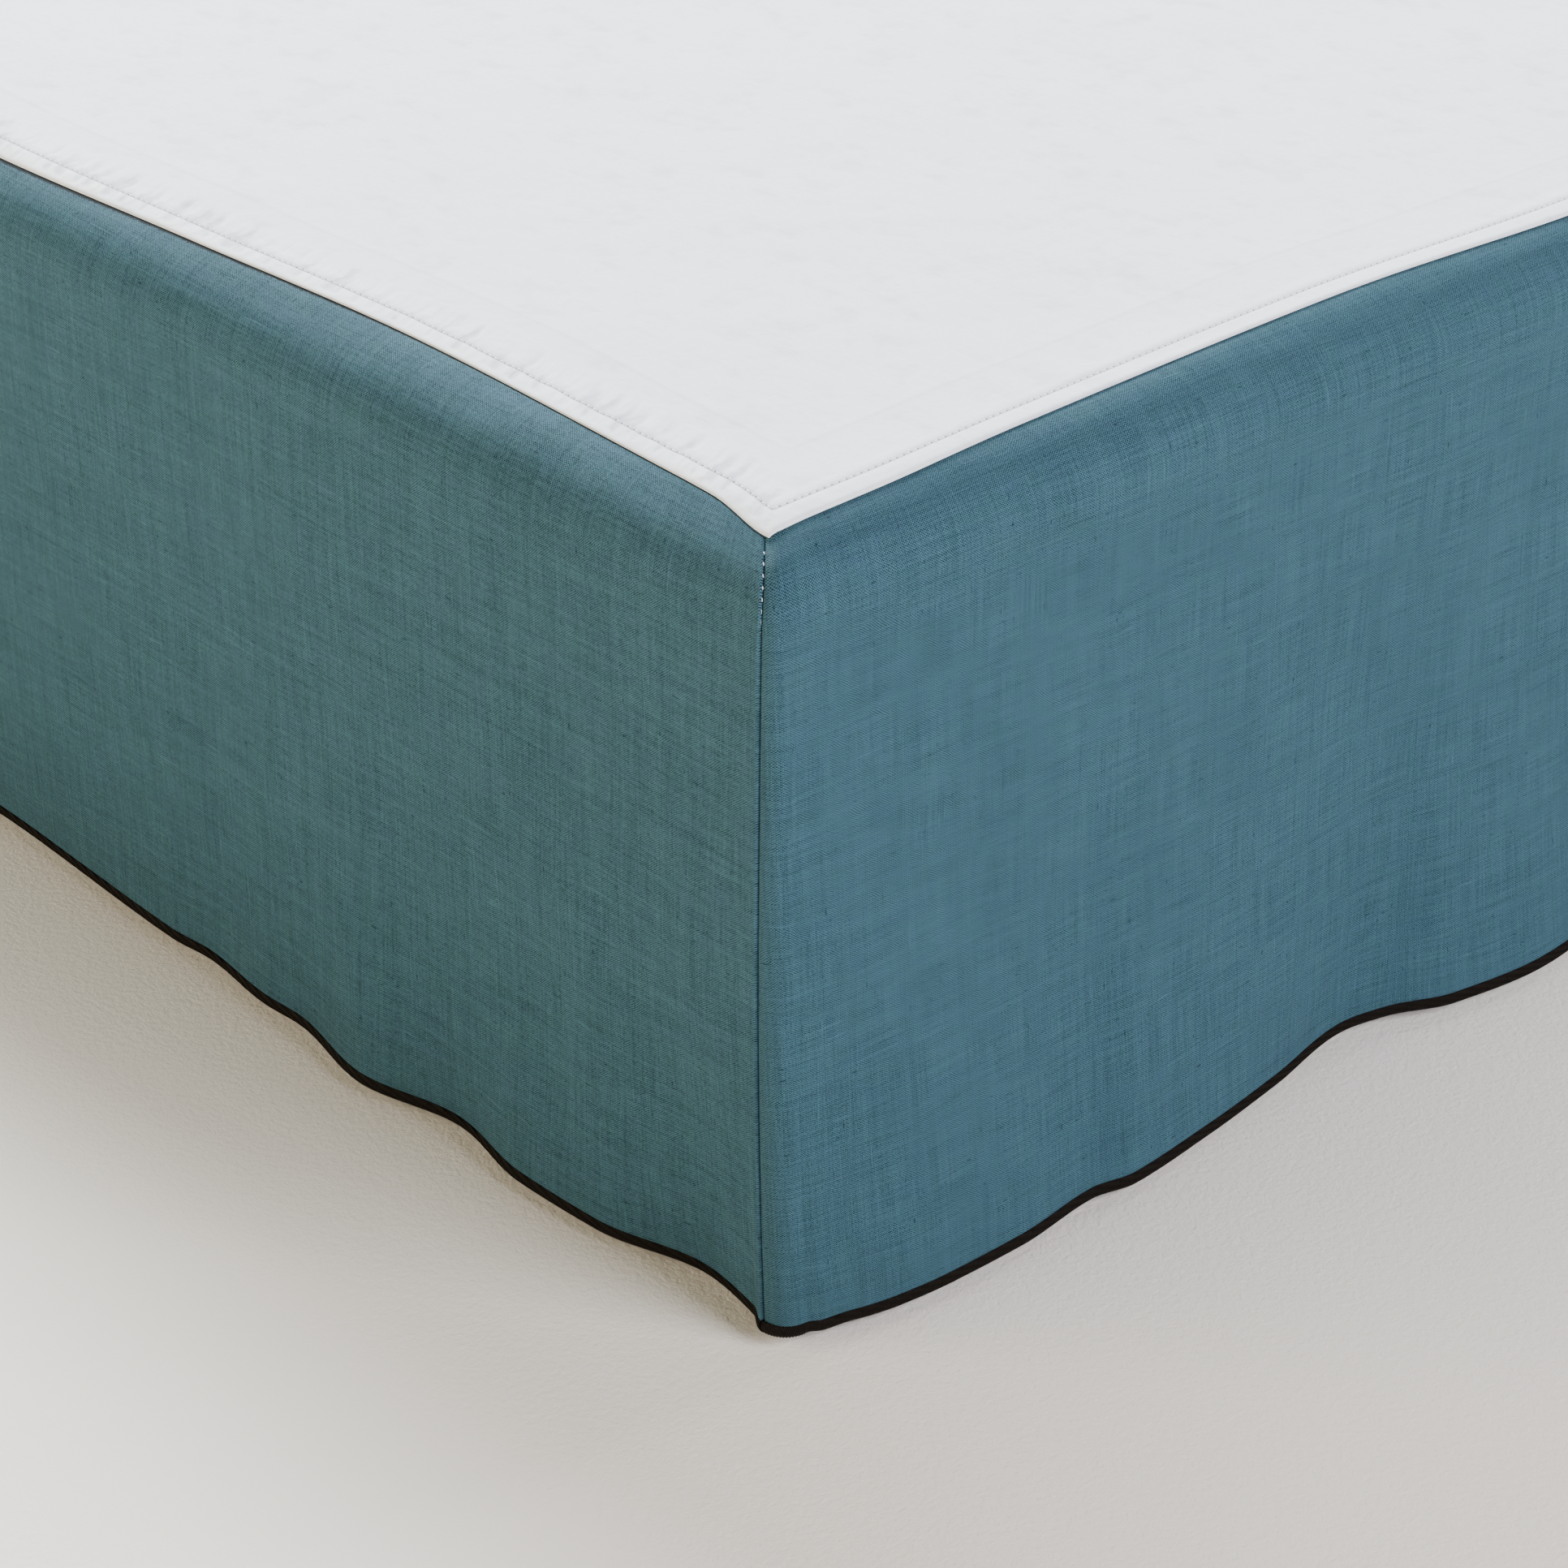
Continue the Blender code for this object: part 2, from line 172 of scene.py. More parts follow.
def onShoulder(path):
    radius = cover["shoulder"]
    quarter = radius * math.pi / 2
    tilt = np.maximum(math.pi / 2 - path / radius, 0.0)
    inset = np.where(path >= quarter, radius + path - quarter, radius * (1 - np.sin(tilt)))
    return inset, -radius * (1 - np.cos(tilt)), tilt


def cornerRadius(zone, value):
    upper = cover["upperCorner"]
    if zone == "skirt":
        share = np.clip(value / (cover["drop"] - cover["shoulder"]), 0, 1)
        return cover["corner"] + (upper - cover["corner"]) * share
    if zone == "allowance":
        return cover["mitreRadius"]
    return upper + (cover["mitreRadius"] - upper) * value


# Inset, height, tilt and corner radius of the cloth; value is metres past the seam in the
# allowance, a share of the way up to the seam on the shoulder, and metres above the hem below
def section(side, along, zone, value):
    along = np.asarray(along, float)
    if zone == "skirt":
        place = fromTableStart(side, along)
        climb = readTable(side["hem"], "climb", place)
        fade = np.maximum(0.0, 1 - value / climb) ** 2
        push = readTable(side["hem"], "out", place) * fade
        level = along * 0
        radius = cornerRadius(zone, value)
        return -push, level + value - cover["drop"], level + math.pi / 2, radius
    seam = seamPath(side, along)
    path = seam + value if zone == "allowance" else seam * value
    return *onShoulder(path), cornerRadius(zone, value)


def seamShare(corner, zone, value):
    foot = cover["drop"] - cover["shoulder"]
    height = value if zone == "skirt" else foot + value * 0
    top = cornerSeams["top"][corner % 4]
    drift = top + (cornerSeams["hem"][corner % 4] - top) * (1 - height / foot)
    return 0.5 + drift / (2 * cornerRadius("skirt", height))


# Place seen from above, facing, height and tilt on a corner's arc
def cornerPlaces(corner, share, zone, value):
    before = sides[(corner - 1) % 4]
    after = sides[corner % 4]
    last = section(before, before["length"] - cover["corner"], zone, value)
    first = section(after, cover["corner"], zone, value)
    turn = math.pi / 2 * share
    facing = (np.cos(turn)[:, None] * np.array(before["outward"])
              + np.sin(turn)[:, None] * np.array(after["outward"]))
    backBefore = np.reshape(last[0] + last[3], (-1, 1)) * np.array(before["outward"])
    backAfter = np.reshape(first[0] + first[3], (-1, 1)) * np.array(after["outward"])
    centre = np.array(after["start"]) - backBefore - backAfter
    height = last[1] + (first[1] - last[1]) * share
    tilt = last[2] + (first[2] - last[2]) * share
    return centre + facing * np.reshape(first[3], (-1, 1)), facing, height, tilt


# How far the mitres at both ends push the cloth along a side
def cornerShift(number, along, zone, value):
    side = sides[number]
    before = sides[(number - 1) % 4]
    after = sides[(number + 1) % 4]
    corner = cover["corner"]
    reach = cover["mitreReach"]
    spare = cornerRadius(zone, value) - corner
    lastInset = section(before, before["length"] - corner, zone, value)[0]
    firstInset = section(after, corner, zone, value)[0]
    leanStart = np.maximum(0.0, 1 - (along - corner) / reach)
    leanEnd = np.maximum(0.0, 1 - (side["length"] - corner - along) / reach)
    return (lastInset + spare) * leanStart - (firstInset + spare) * leanEnd


def flatPlaces(number, along, zone, value):
    side = sides[number]
    inset, height, tilt, radius = section(side, along, zone, value)
    shifted = along + cornerShift(number, along, zone, value)
    place = (np.array(side["start"]) + shifted[:, None] * np.array(side["along"])
             - inset[:, None] * np.array(side["outward"]))
    facing = np.tile(np.array(side["outward"], float), (len(along), 1))
    return place, facing, height, tilt


# One row of a side from corner seam to corner seam, with the distance along the cloth
def sideRow(number, columns, zone, value):
    side = sides[number]
    corner = cover["corner"]
    startCount = len(columns["start"])
    flatEnd = startCount + len(columns["flat"])
    values = np.broadcast_to(np.asarray(value, float), (flatEnd + len(columns["end"]),))
    parts = np.split(values, [startCount, flatEnd])
    startSeam = seamShare(number, zone, parts[0])
    startShare = startSeam + (1 - startSeam) * columns["start"]
    endShare = seamShare(number + 1, zone, parts[2]) * (1 - columns["end"])
    blocks = [cornerPlaces(number, startShare, zone, parts[0]),
              flatPlaces(number, columns["flat"], zone, parts[1]),
              cornerPlaces(number + 1, endShare, zone, parts[2])]
    place, facing, height, tilt = (np.concatenate(column) for column in zip(*blocks))
    quarter = [cornerRadius(zone, part) * math.pi / 2 for part in (parts[0], parts[2])]
    along = np.concatenate([corner - quarter[0] * (1 - startShare), columns["flat"],
                            side["length"] - corner + quarter[1] * endShare])
    return place, facing, height, tilt, along


cornerDip = {"depth": 0.0006, "reach": 0.010, "fade": (0.008, 0.002)}   # the deck's corners sink


def dipAt(place):
    dip = 0
    for number, side in enumerate(sides):
        before = sides[number - 1]
        inset = readTable(side["seam"], "inset", fromTableStart(side, cover["corner"]))
        insetBefore = readTable(before["seam"], "inset",
                                fromTableStart(before, before["length"] - cover["corner"]))
        tip = (np.array(side["start"]) - np.array(side["outward"]) * inset
               - np.array(before["outward"]) * insetBefore)
        dip = dip + cornerDip["depth"] * bell(np.linalg.norm(place - tip, axis=-1), cornerDip["reach"])
    return dip


def liftedPoints(row, lift):
    place, facing, height, tilt = row[:4]
    flatAway = facing * (lift * np.sin(tilt))[:, None]
    sink = dipAt(place) * smoothStep(-cornerDip["fade"][0], -cornerDip["fade"][1], height)
    z = height + lift * np.cos(tilt) - sink
    return np.column_stack([place + flatAway, z])


# Creases and unevenness of the panels, placed against the photograph. at: distance from
# the front right corner; up: height of its middle above the hem; half: half its length; lean: how
# far its top leans away from that corner; wide and high: its section, a trough when negative
footCreases = {
    "at": (0.030, 0.062, 0.100, 0.050, 0.150, 0.205, 0.262, 0.318, 0.370, 0.018, 0.120, 0.240),
    "up": (0.110, 0.090, 0.120, 0.200, 0.190, 0.105, 0.185, 0.130, 0.170, 0.060, 0.060, 0.060),
    "half": (0.110, 0.090, 0.080, 0.070, 0.080, 0.110, 0.085, 0.110, 0.090, 0.060, 0.055, 0.060),
    "lean": (0.35, 0.50, 0.62, 0.20, -0.05, 0.04, -0.03, 0.05, 0.02, 0.12, 0.30, 0.10),
    "wide": (0.010, 0.012, 0.016, 0.008, 0.014, 0.016, 0.018, 0.016, 0.018, 0.006, 0.010, 0.012),
    "high": (0.0011, -0.0010, 0.0011, 0.0006, 0.0007, -0.0009, 0.0009, -0.0008, 0.0008,
             -0.0006, -0.0007, 0.0008),
}
rightCreases = {
    "at": (0.032, 0.060, 0.110, 0.170, 0.235, 0.300, 0.345, 0.400, 0.090, 0.260),
    "up": (0.140, 0.070, 0.200, 0.090, 0.170, 0.120, 0.200, 0.130, 0.120, 0.230),
    "half": (0.120, 0.060, 0.080, 0.080, 0.110, 0.110, 0.090, 0.110, 0.070, 0.060),
    "lean": (0.03, 0.05, -0.20, -0.12, -0.25, -0.35, -0.30, -0.35, -0.10, 0.50),
    "wide": (0.014, 0.012, 0.018, 0.016, 0.022, 0.022, 0.020, 0.024, 0.012, 0.014),
    "high": (0.0010, 0.0007, 0.0006, -0.0007, 0.0009, -0.0014, 0.0012, -0.0012, -0.0005, 0.0005),
}
farCreases = {
    "at": (0.10, 0.31, 0.47, 0.66, 0.90, 1.08, 1.27, 1.46, 1.62, 1.80),
    "up": (0.14, 0.10, 0.18, 0.12, 0.16, 0.10, 0.18, 0.12, 0.16, 0.12),
    "half": (0.11, 0.09, 0.08, 0.11, 0.10, 0.09, 0.09, 0.11, 0.08, 0.10),
    "lean": (0.10, -0.20, 0.05, 0.25, -0.10, 0.15, -0.25, 0.10, 0.20, -0.10),
    "wide": (0.018, 0.022, 0.018, 0.024, 0.020, 0.022, 0.018, 0.024, 0.018, 0.020),
    "high": (0.0012, -0.0010, 0.0009, -0.0013, 0.0012, -0.0009, 0.0011, -0.0012, 0.0010, -0.0010),
}
panelCreases = {"foot": footCreases, "right": rightCreases, "head": farCreases, "left": farCreases}


def creaseField(table, across, up):
    total = 0
    for at, middle, half, lean, wide, high in zip(*(table[column] for column in table)):
        turn = math.atan(lean)
        dx = across - at
        dy = up - middle
        along = dx * math.sin(turn) + dy * math.cos(turn)
        aside = dx * math.cos(turn) - dy * math.sin(turn)
        window = np.maximum(0.0, 1 - (along / half) ** 2) ** 2
        total = total + high * bell(aside, wide) * window
    return total


unevenness = {
    "wave": (0.210, 0.137, 0.089, 0.061, 0.043),     # lengths of the slow swells
    "size": (0.00050, 0.00036, 0.00022, 0.00013, 0.00008),
    "turn": (0.3, 1.9, 2.7, 0.9, 2.2),               # direction of each
}
swellBend = {"size": 0.8, "length": 2.3}             # their lines bend a little
swellShift = {"piece": 1.7, "swell": 2.1, "panel": 1.3, "deck": 4.2}     # no two pieces are alike


def uneven(across, up, phase):
    total = 0
    for number, (wave, size, turn) in enumerate(zip(*unevenness.values())):
        along = across * math.cos(turn) + up * math.sin(turn)
        aside = up * math.cos(turn) - across * math.sin(turn)
        bend = np.sin(2 * math.pi * aside / (swellBend["length"] * wave) + phase + number)
        turned = 2 * math.pi * along / wave + swellBend["size"] * bend
        total = total + size * np.sin(turned + swellShift["piece"] * phase
                                      + swellShift["swell"] * number)
    return total


seamRoll = {
    "groove": 0.0005, "grooveWide": 0.00024,   # the panels turn in to the corner seam
    "ridge": 0.00028, "ridgeAt": 0.0005, "ridgeWide": 0.0003,    # on the side before the seam
    "sink": 0.0009, "sinkWide": 0.0065,                          # on the side after it
    "calmSeam": 0.022, "calmTop": 0.010, "calmHem": 0.020,
    "underRim": 0.002,          # where the roll fades out below the deck's edge
}


# What stands out of a panel beyond its plain folded shape
def panelRelief(number, along, up, topPath, seamDistance):
    side = sides[number]
    across = fromTableStart(side, along)
    calm = (smoothStep(0.0, seamRoll["calmSeam"], seamDistance)
            * smoothStep(0.0, seamRoll["calmTop"], topPath - up)
            * smoothStep(0.0, seamRoll["calmHem"], up))
    swells = uneven(across, up, swellShift["panel"] * number)
    relief = (creaseField(panelCreases[side["name"]], across, up) + swells) * calm
    under = smoothStep(-seamRoll["underRim"], seamRoll["underRim"], topPath - up)
    groove = bell(seamDistance, seamRoll["grooveWide"])
    ridge = bell(seamDistance - seamRoll["ridgeAt"], seamRoll["ridgeWide"]) * (1 - groove)
    sink = np.where(along > side["length"] / 2, groove, bell(seamDistance, seamRoll["sinkWide"]))
    relief = relief - (seamRoll["groove"] * groove + seamRoll["sink"] * sink) * under
    return relief + np.where(along > side["length"] / 2, seamRoll["ridge"] * ridge, 0) * under


def closedSheet(name, outer, inner, weave, material):
    rows, columns = outer.shape[:2]
    count = rows * columns
    index = np.arange(count).reshape(rows, columns)
    quads = np.stack([index[:-1, :-1], index[1:, :-1], index[1:, 1:], index[:-1, 1:]], -1)
    quads = quads.reshape(-1, 4)
    border = np.concatenate([index[:-1, 0], index[-1, :-1], index[:0:-1, -1], index[0, :0:-1]])
    following = np.roll(border, -1)
    rim = np.stack([following, border, border + count, following + count], -1)
    faces = np.concatenate([quads, quads[:, [0, 3, 2, 1]] + count, rim])
    points = np.concatenate([outer.reshape(-1, 3), inner.reshape(-1, 3)])
    piece = meshPiece(name, points, faces.tolist(), material, sharpAngle["sheet"])
    weave = weave.reshape(-1, 3)
    storeNumbers(piece, "weave", np.concatenate([weave, weave]))
    return piece


def meshPiece(name, points, faces, material, angle):
    mesh = bpy.data.meshes.new(name)
    mesh.from_pydata(points.tolist(), [], faces)
    mesh.materials.append(material)
    mesh.shade_smooth()
    mesh.set_sharp_from_angle(angle=math.radians(angle))
    piece = bpy.data.objects.new(name, mesh)
    bpy.context.scene.collection.objects.link(piece)
    return piece


# Numbers that a material reads at each point: one, or three as a vector. The weave's three are
# metres along the threads, metres across them, and a number per piece
def storeNumbers(piece, name, numbers):
    numbers = np.ascontiguousarray(numbers, np.float32)
    kind, column = ("FLOAT", "value") if numbers.ndim == 1 else ("FLOAT_VECTOR", "vector")
    layer = piece.data.attributes.new(name, kind, "POINT")
    layer.data.foreach_set(column, numbers.ravel())


weaveNumber = {"step": 1.7, "deck": 9.1}      # so that no two pieces have the same threads
sharpAngle = {"sheet": 50, "thread": 80}      # degrees


def triangleCount(piece):
    return sum(len(face.vertices) - 2 for face in piece.data.polygons)


class Wire:
    def __init__(self, shader, socket):
        self.shader = shader
        self.socket = socket

    def math(self, operation, *values):
        settings = {"operation": operation}
        return self.shader.node("ShaderNodeMath", settings, dict(enumerate(values)))

    def __add__(self, other):
        return self.math("ADD", self, other)

    def __radd__(self, other):
        return self.math("ADD", other, self)

    def __sub__(self, other):
        return self.math("SUBTRACT", self, other)

    def __rsub__(self, other):
        return self.math("SUBTRACT", other, self)

    def __mul__(self, other):
        return self.math("MULTIPLY", self, other)

    def __rmul__(self, other):
        return self.math("MULTIPLY", other, self)

    def __abs__(self):
        return self.math("ABSOLUTE", self)

    def sine(self):
        return self.math("SINE", self)

    def between(self, low, high):
        settings = {"interpolation_type": "SMOOTHSTEP"}
        values = {"Value": self, "From Min": low, "From Max": high}
        return self.shader.node("ShaderNodeMapRange", settings, values)


class Shader:
    def __init__(self, name, constants):
        self.material = bpy.data.materials.new(name)
        self.material.use_nodes = True
        self.tree = self.material.node_tree
        self.surface = self.tree.nodes["Principled BSDF"]
        for socket, value in constants.items():
            self.surface.inputs[socket].default_value = value

    def node(self, kind, settings, values, output=0):
        made = self.tree.nodes.new(kind)
        for setting, value in settings.items():
            setattr(made, setting, value)
        for socket, value in values.items():
            self.join(made.inputs[socket], value)
        return Wire(self, made.outputs[output])

    def join(self, socket, value):
        if isinstance(value, Wire):
            self.tree.links.new(value.socket, socket)
        else:
            socket.default_value = value

    def feed(self, socket, value):
        self.join(self.surface.inputs[socket], value)

    def weave(self):
        return self.node("ShaderNodeAttribute", {"attribute_name": "weave"}, {}, "Vector")

    def split(self, vector):
        return [self.node("ShaderNodeSeparateXYZ", {}, {0: vector}, axis) for axis in "XYZ"]

    def stretched(self, vector, scales):
        return self.node("ShaderNodeVectorMath", {"operation": "MULTIPLY"}, {0: vector, 1: scales})

    def noise(self, vector, scales, detail=2.0, rough=0.5):
        values = {"Vector": self.stretched(vector, scales), "Scale": 1.0, "Detail": detail,
                  "Roughness": rough}
        return self.node("ShaderNodeTexNoise", {}, values, "Fac")

    def mix(self, factor, first, second):
        settings = {"data_type": "RGBA", "clamp_factor": True}
        return self.node("ShaderNodeMix", settings, {0: factor, 6: first, 7: second}, 2)

    def bump(self, height, distance, strength):
        values = {"Height": height, "Distance": distance, "Strength": strength}
        self.feed("Normal", self.node("ShaderNodeBump", {}, values, "Normal"))


linen = {
    "dark": (0.0060, 0.019, 0.0245, 1), "light": (0.0685, 0.151, 0.179, 1),
    "darkBlue": (0.0070, 0.0185, 0.027, 1), "lightBlue": (0.0700, 0.148, 0.188, 1),
    "slub": (0.078, 0.178, 0.210, 1), "speck": (0.006, 0.018, 0.024, 1),
    "edge": (0.010, 0.009, 0.009, 1),
    "pitch": 0.00054,       # from one upright thread to the next
    "pitchUp": 0.00043,     # from one level thread to the next
    "wander": 0.0016,       # how far the threads stray
    "rough": 0.52, "roughSpread": 0.25,
    "threadDepth": 0.00016, "bump": 0.8,
    # how much each layer counts in the shade, and how the shade turns into a colour
    "threads": 1.3, "grain": 0.9, "uprightWide": 0.16, "levelWide": 0.2, "cloud": 0.10,
    "contrast": 0.8, "overLight": 0.60, "ground": 0.20,
    "slubs": (0.76, 0.88), "slubShare": 0.25,
    "specksUp": (0.77, 0.88), "specksLevel": (0.78, 0.88), "speckShare": 0.6,
    "relief": {"crossing": 0.8, "threads": 0.9, "grain": 0.5, "slubs": 0.6},
    # the painted shadow under the deck's edge, a dark line: its start and end in widths, how ragged,
    # how dark
    "lineStart": (-0.5, -0.1), "lineEnd": (0.55, 1.15), "lineRagged": 0.9, "lineShare": 0.9,
    # and its width near the first corner and far from it, and where it changes
    "lineWidens": (0.03, 0.30),
    "rimShadow": {"foot": (0.0003, 0.0015), "right": (0.0001, 0.0002),
                 "head": (0.0003, 0.0008), "left": (0.0003, 0.0010)},
}


# Plain weave: threads of uneven shade that lie over and under each other, with slubs and specks, and a
# painted shadow under the deck's edge
def tealLinen():
    shader = Shader("teal linen", {"Metallic": 0.0, "IOR": 1.45, "Specular IOR Level": 0.025,
                                   "Specular Tint": (0.45, 0.85, 1.0, 1)})
    cloth = shader.weave()
    along, up = shader.split(cloth)[:2]
    thread = 1 / linen["pitch"]
    threadUp = 1 / linen["pitchUp"]
    wander = shader.noise(cloth, (160, 70, 5), 1.0) * linen["wander"]
    wanderUp = shader.noise(cloth, (70, 160, 9), 1.0) * linen["wander"]
    across = ((along + wander) * (math.pi * thread)).sine()
    crossing = across * ((up + wanderUp) * (math.pi * threadUp)).sine()
    over = crossing.between(-0.4, 0.4)
    upright = shader.noise(cloth, (thread * 0.72, 30, 7), 2.0, 0.6)
    level = shader.noise(cloth, (34, threadUp * 0.72, 7), 2.0, 0.6)
    grain = shader.noise(cloth, (thread * 0.62, threadUp * 0.62, 5), 1.0, 0.6)
    uprightWide = shader.noise(cloth, (thread * 0.18, 8, 3), 1.0)
    levelWide = shader.noise(cloth, (9, thread * 0.18, 3), 1.0)
    cloud = shader.noise(cloth, (24, 20, 5), 2.0)
    threads = upright * over + level * (1 - over)
    shade = (threads - 0.5) * linen["threads"] + (grain - 0.5) * linen["grain"]
    shade = shade + (uprightWide - 0.5) * linen["uprightWide"]
    shade = shade + (levelWide - 0.5) * linen["levelWide"] + (cloud - 0.5) * linen["cloud"]
    factor = shade * linen["contrast"] + over * linen["overLight"] + linen["ground"]
    hue = shader.noise(cloth, (95, 120, 13), 2.0).between(0.25, 0.75)
    green = shader.mix(factor, linen["dark"], linen["light"])
    blue = shader.mix(factor, linen["darkBlue"], linen["lightBlue"])
    colour = shader.mix(hue, green, blue)
    slubUp = shader.noise(cloth, (thread * 0.42, 52, 11), 0.0).between(*linen["slubs"])
    slubLevel = shader.noise(cloth, (58, thread * 0.42, 13), 0.0).between(*linen["slubs"])
    colour = shader.mix((slubUp + slubLevel) * linen["slubShare"], colour, linen["slub"])
    speckUp = shader.noise(cloth, (thread * 0.46, 230, 19), 0.0).between(*linen["specksUp"])
    speckLevel = shader.noise(cloth, (250, thread * 0.46, 23), 0.0).between(*linen["specksLevel"])
    colour = shader.mix((speckUp + speckLevel) * linen["speckShare"], colour, linen["speck"])
    # painted shadow: a dark, ragged line on the linen just under the deck's edge, widest on the foot
    # side
    below = shader.node("ShaderNodeAttribute", {"attribute_name": "below"}, {}, "Fac")
    lineStart = below.between(*linen["lineStart"])
    ragged = below + (grain - 0.5) * linen["lineRagged"]
    rimShadow = lineStart * (1 - ragged.between(*linen["lineEnd"]))
    shader.feed("Base Color", shader.mix(rimShadow * linen["lineShare"], colour, linen["edge"]))
    shader.feed("Roughness", linen["rough"] - (threads - 0.5) * linen["roughSpread"])
    relief = linen["relief"]
    height = abs(crossing) * relief["crossing"] + threads * relief["threads"]
    height = height + grain * relief["grain"] + (slubUp + slubLevel) * relief["slubs"]
    shader.bump(height, linen["threadDepth"], linen["bump"])
    return shader.material


deckCloth = {
    "overPanels": 0.0015,      # underside of the rim, over the allowances
    "flat": 0.0012,            # top of the cloth where it lies flat
    "step": (0.0120, 0.0160),  # where the rim comes down
    "roll": 0.0010, "rollDepth": 0.00045,      # rounding of the folded edge
    "stitchLine": 0.0090, "stitchGroove": 0.00042, "stitchWide": 0.0009,
    "border": 0.0400, "borderHigh": 0.00022, "borderStep": (0.0006, 0.0010),
    "puckerStart": (0.0008, 0.004), "puckerFade": 0.4,
    "creaseStart": (0.02, 0.05), "swells": 0.6, "swellStart": (0.006, 0.05),
    "rimLines": (0.0, 0.0004, 0.0010, 0.0020, 0.0035, 0.0050, 0.0063, 0.0074, 0.0082, 0.0090,
                 0.0098, 0.0106, 0.0118, 0.0132, 0.0148, 0.0165, 0.0190),
    "closeLine": 0.0041, "farLine": 0.030,
    "puckered": (0.25, 0.8, 1.0, 0.8),      # right, left, foot and head rims
}


cotton = {
    "warm": (0.915, 0.908, 0.892, 1), "cool": (0.890, 0.895, 0.908, 1),
    "shade": (0.72, 0.72, 0.74, 1), "light": (0.95, 0.945, 0.94, 1),
    # pressed: the colour of the painted shade along the rim and in the hollows of folds and crumples
    "paintedShade": (0.52, 0.52, 0.56, 1), "pitch": 0.00038, "threadDepth": 0.00008,
    # hole: painted shade in the needle holes between the stitches
    "hole": (0.14, 0.14, 0.145, 1), "holeWide": 0.00052, "betweenStitches": (0.50, 0.90),
    "cloud": 0.5, "mottle": 1.1, "fullStreak": 1.1,
    # crumples: painted shade in the hollows of the crumpled cloth
    "crumples": {"deep": 0.25, "share": 0.30}, "rough": 0.82, "bump": 0.7,
    "relief": {"crossing": 0.5, "threads": 0.6, "crumple": 16, "mottle": 3, "hole": 3},
}

# Painted shade along the deck's rim: at the stitches, in a band inside them, at the border and inside
# it; where each fades out on each side, and how dark it is
rimShades = {
    "stitches": {"fade": (0.0006, 0.0017), "share": 0.60},
    "band": {"pastStitches": 0.0035, "fade": (0.0008, 0.0050), "share": 0.10, "mottled": 0.35},
    "border": {"fade": (0.0004, 0.0022), "share": 0.16},
    "insideBorder": {"wide": 0.014, "end": 0.001, "share": 0.10},
}

# Small folds across the rim, too fine for the mesh
rimFolds = {
    "lean": 0.5, "along": 190, "inwards": 30, "across": 9,
    "start": (0.0004, 0.0040), "end": (0.012, 0.032),
    "deep": 0.18, "share": 0.70,        # painted shade in their hollows, and how dark it is
    "height": 45.0,                     # in thread depths
}


def softLine(distance, line):
    return 1 - abs(distance).between(*line["fade"])


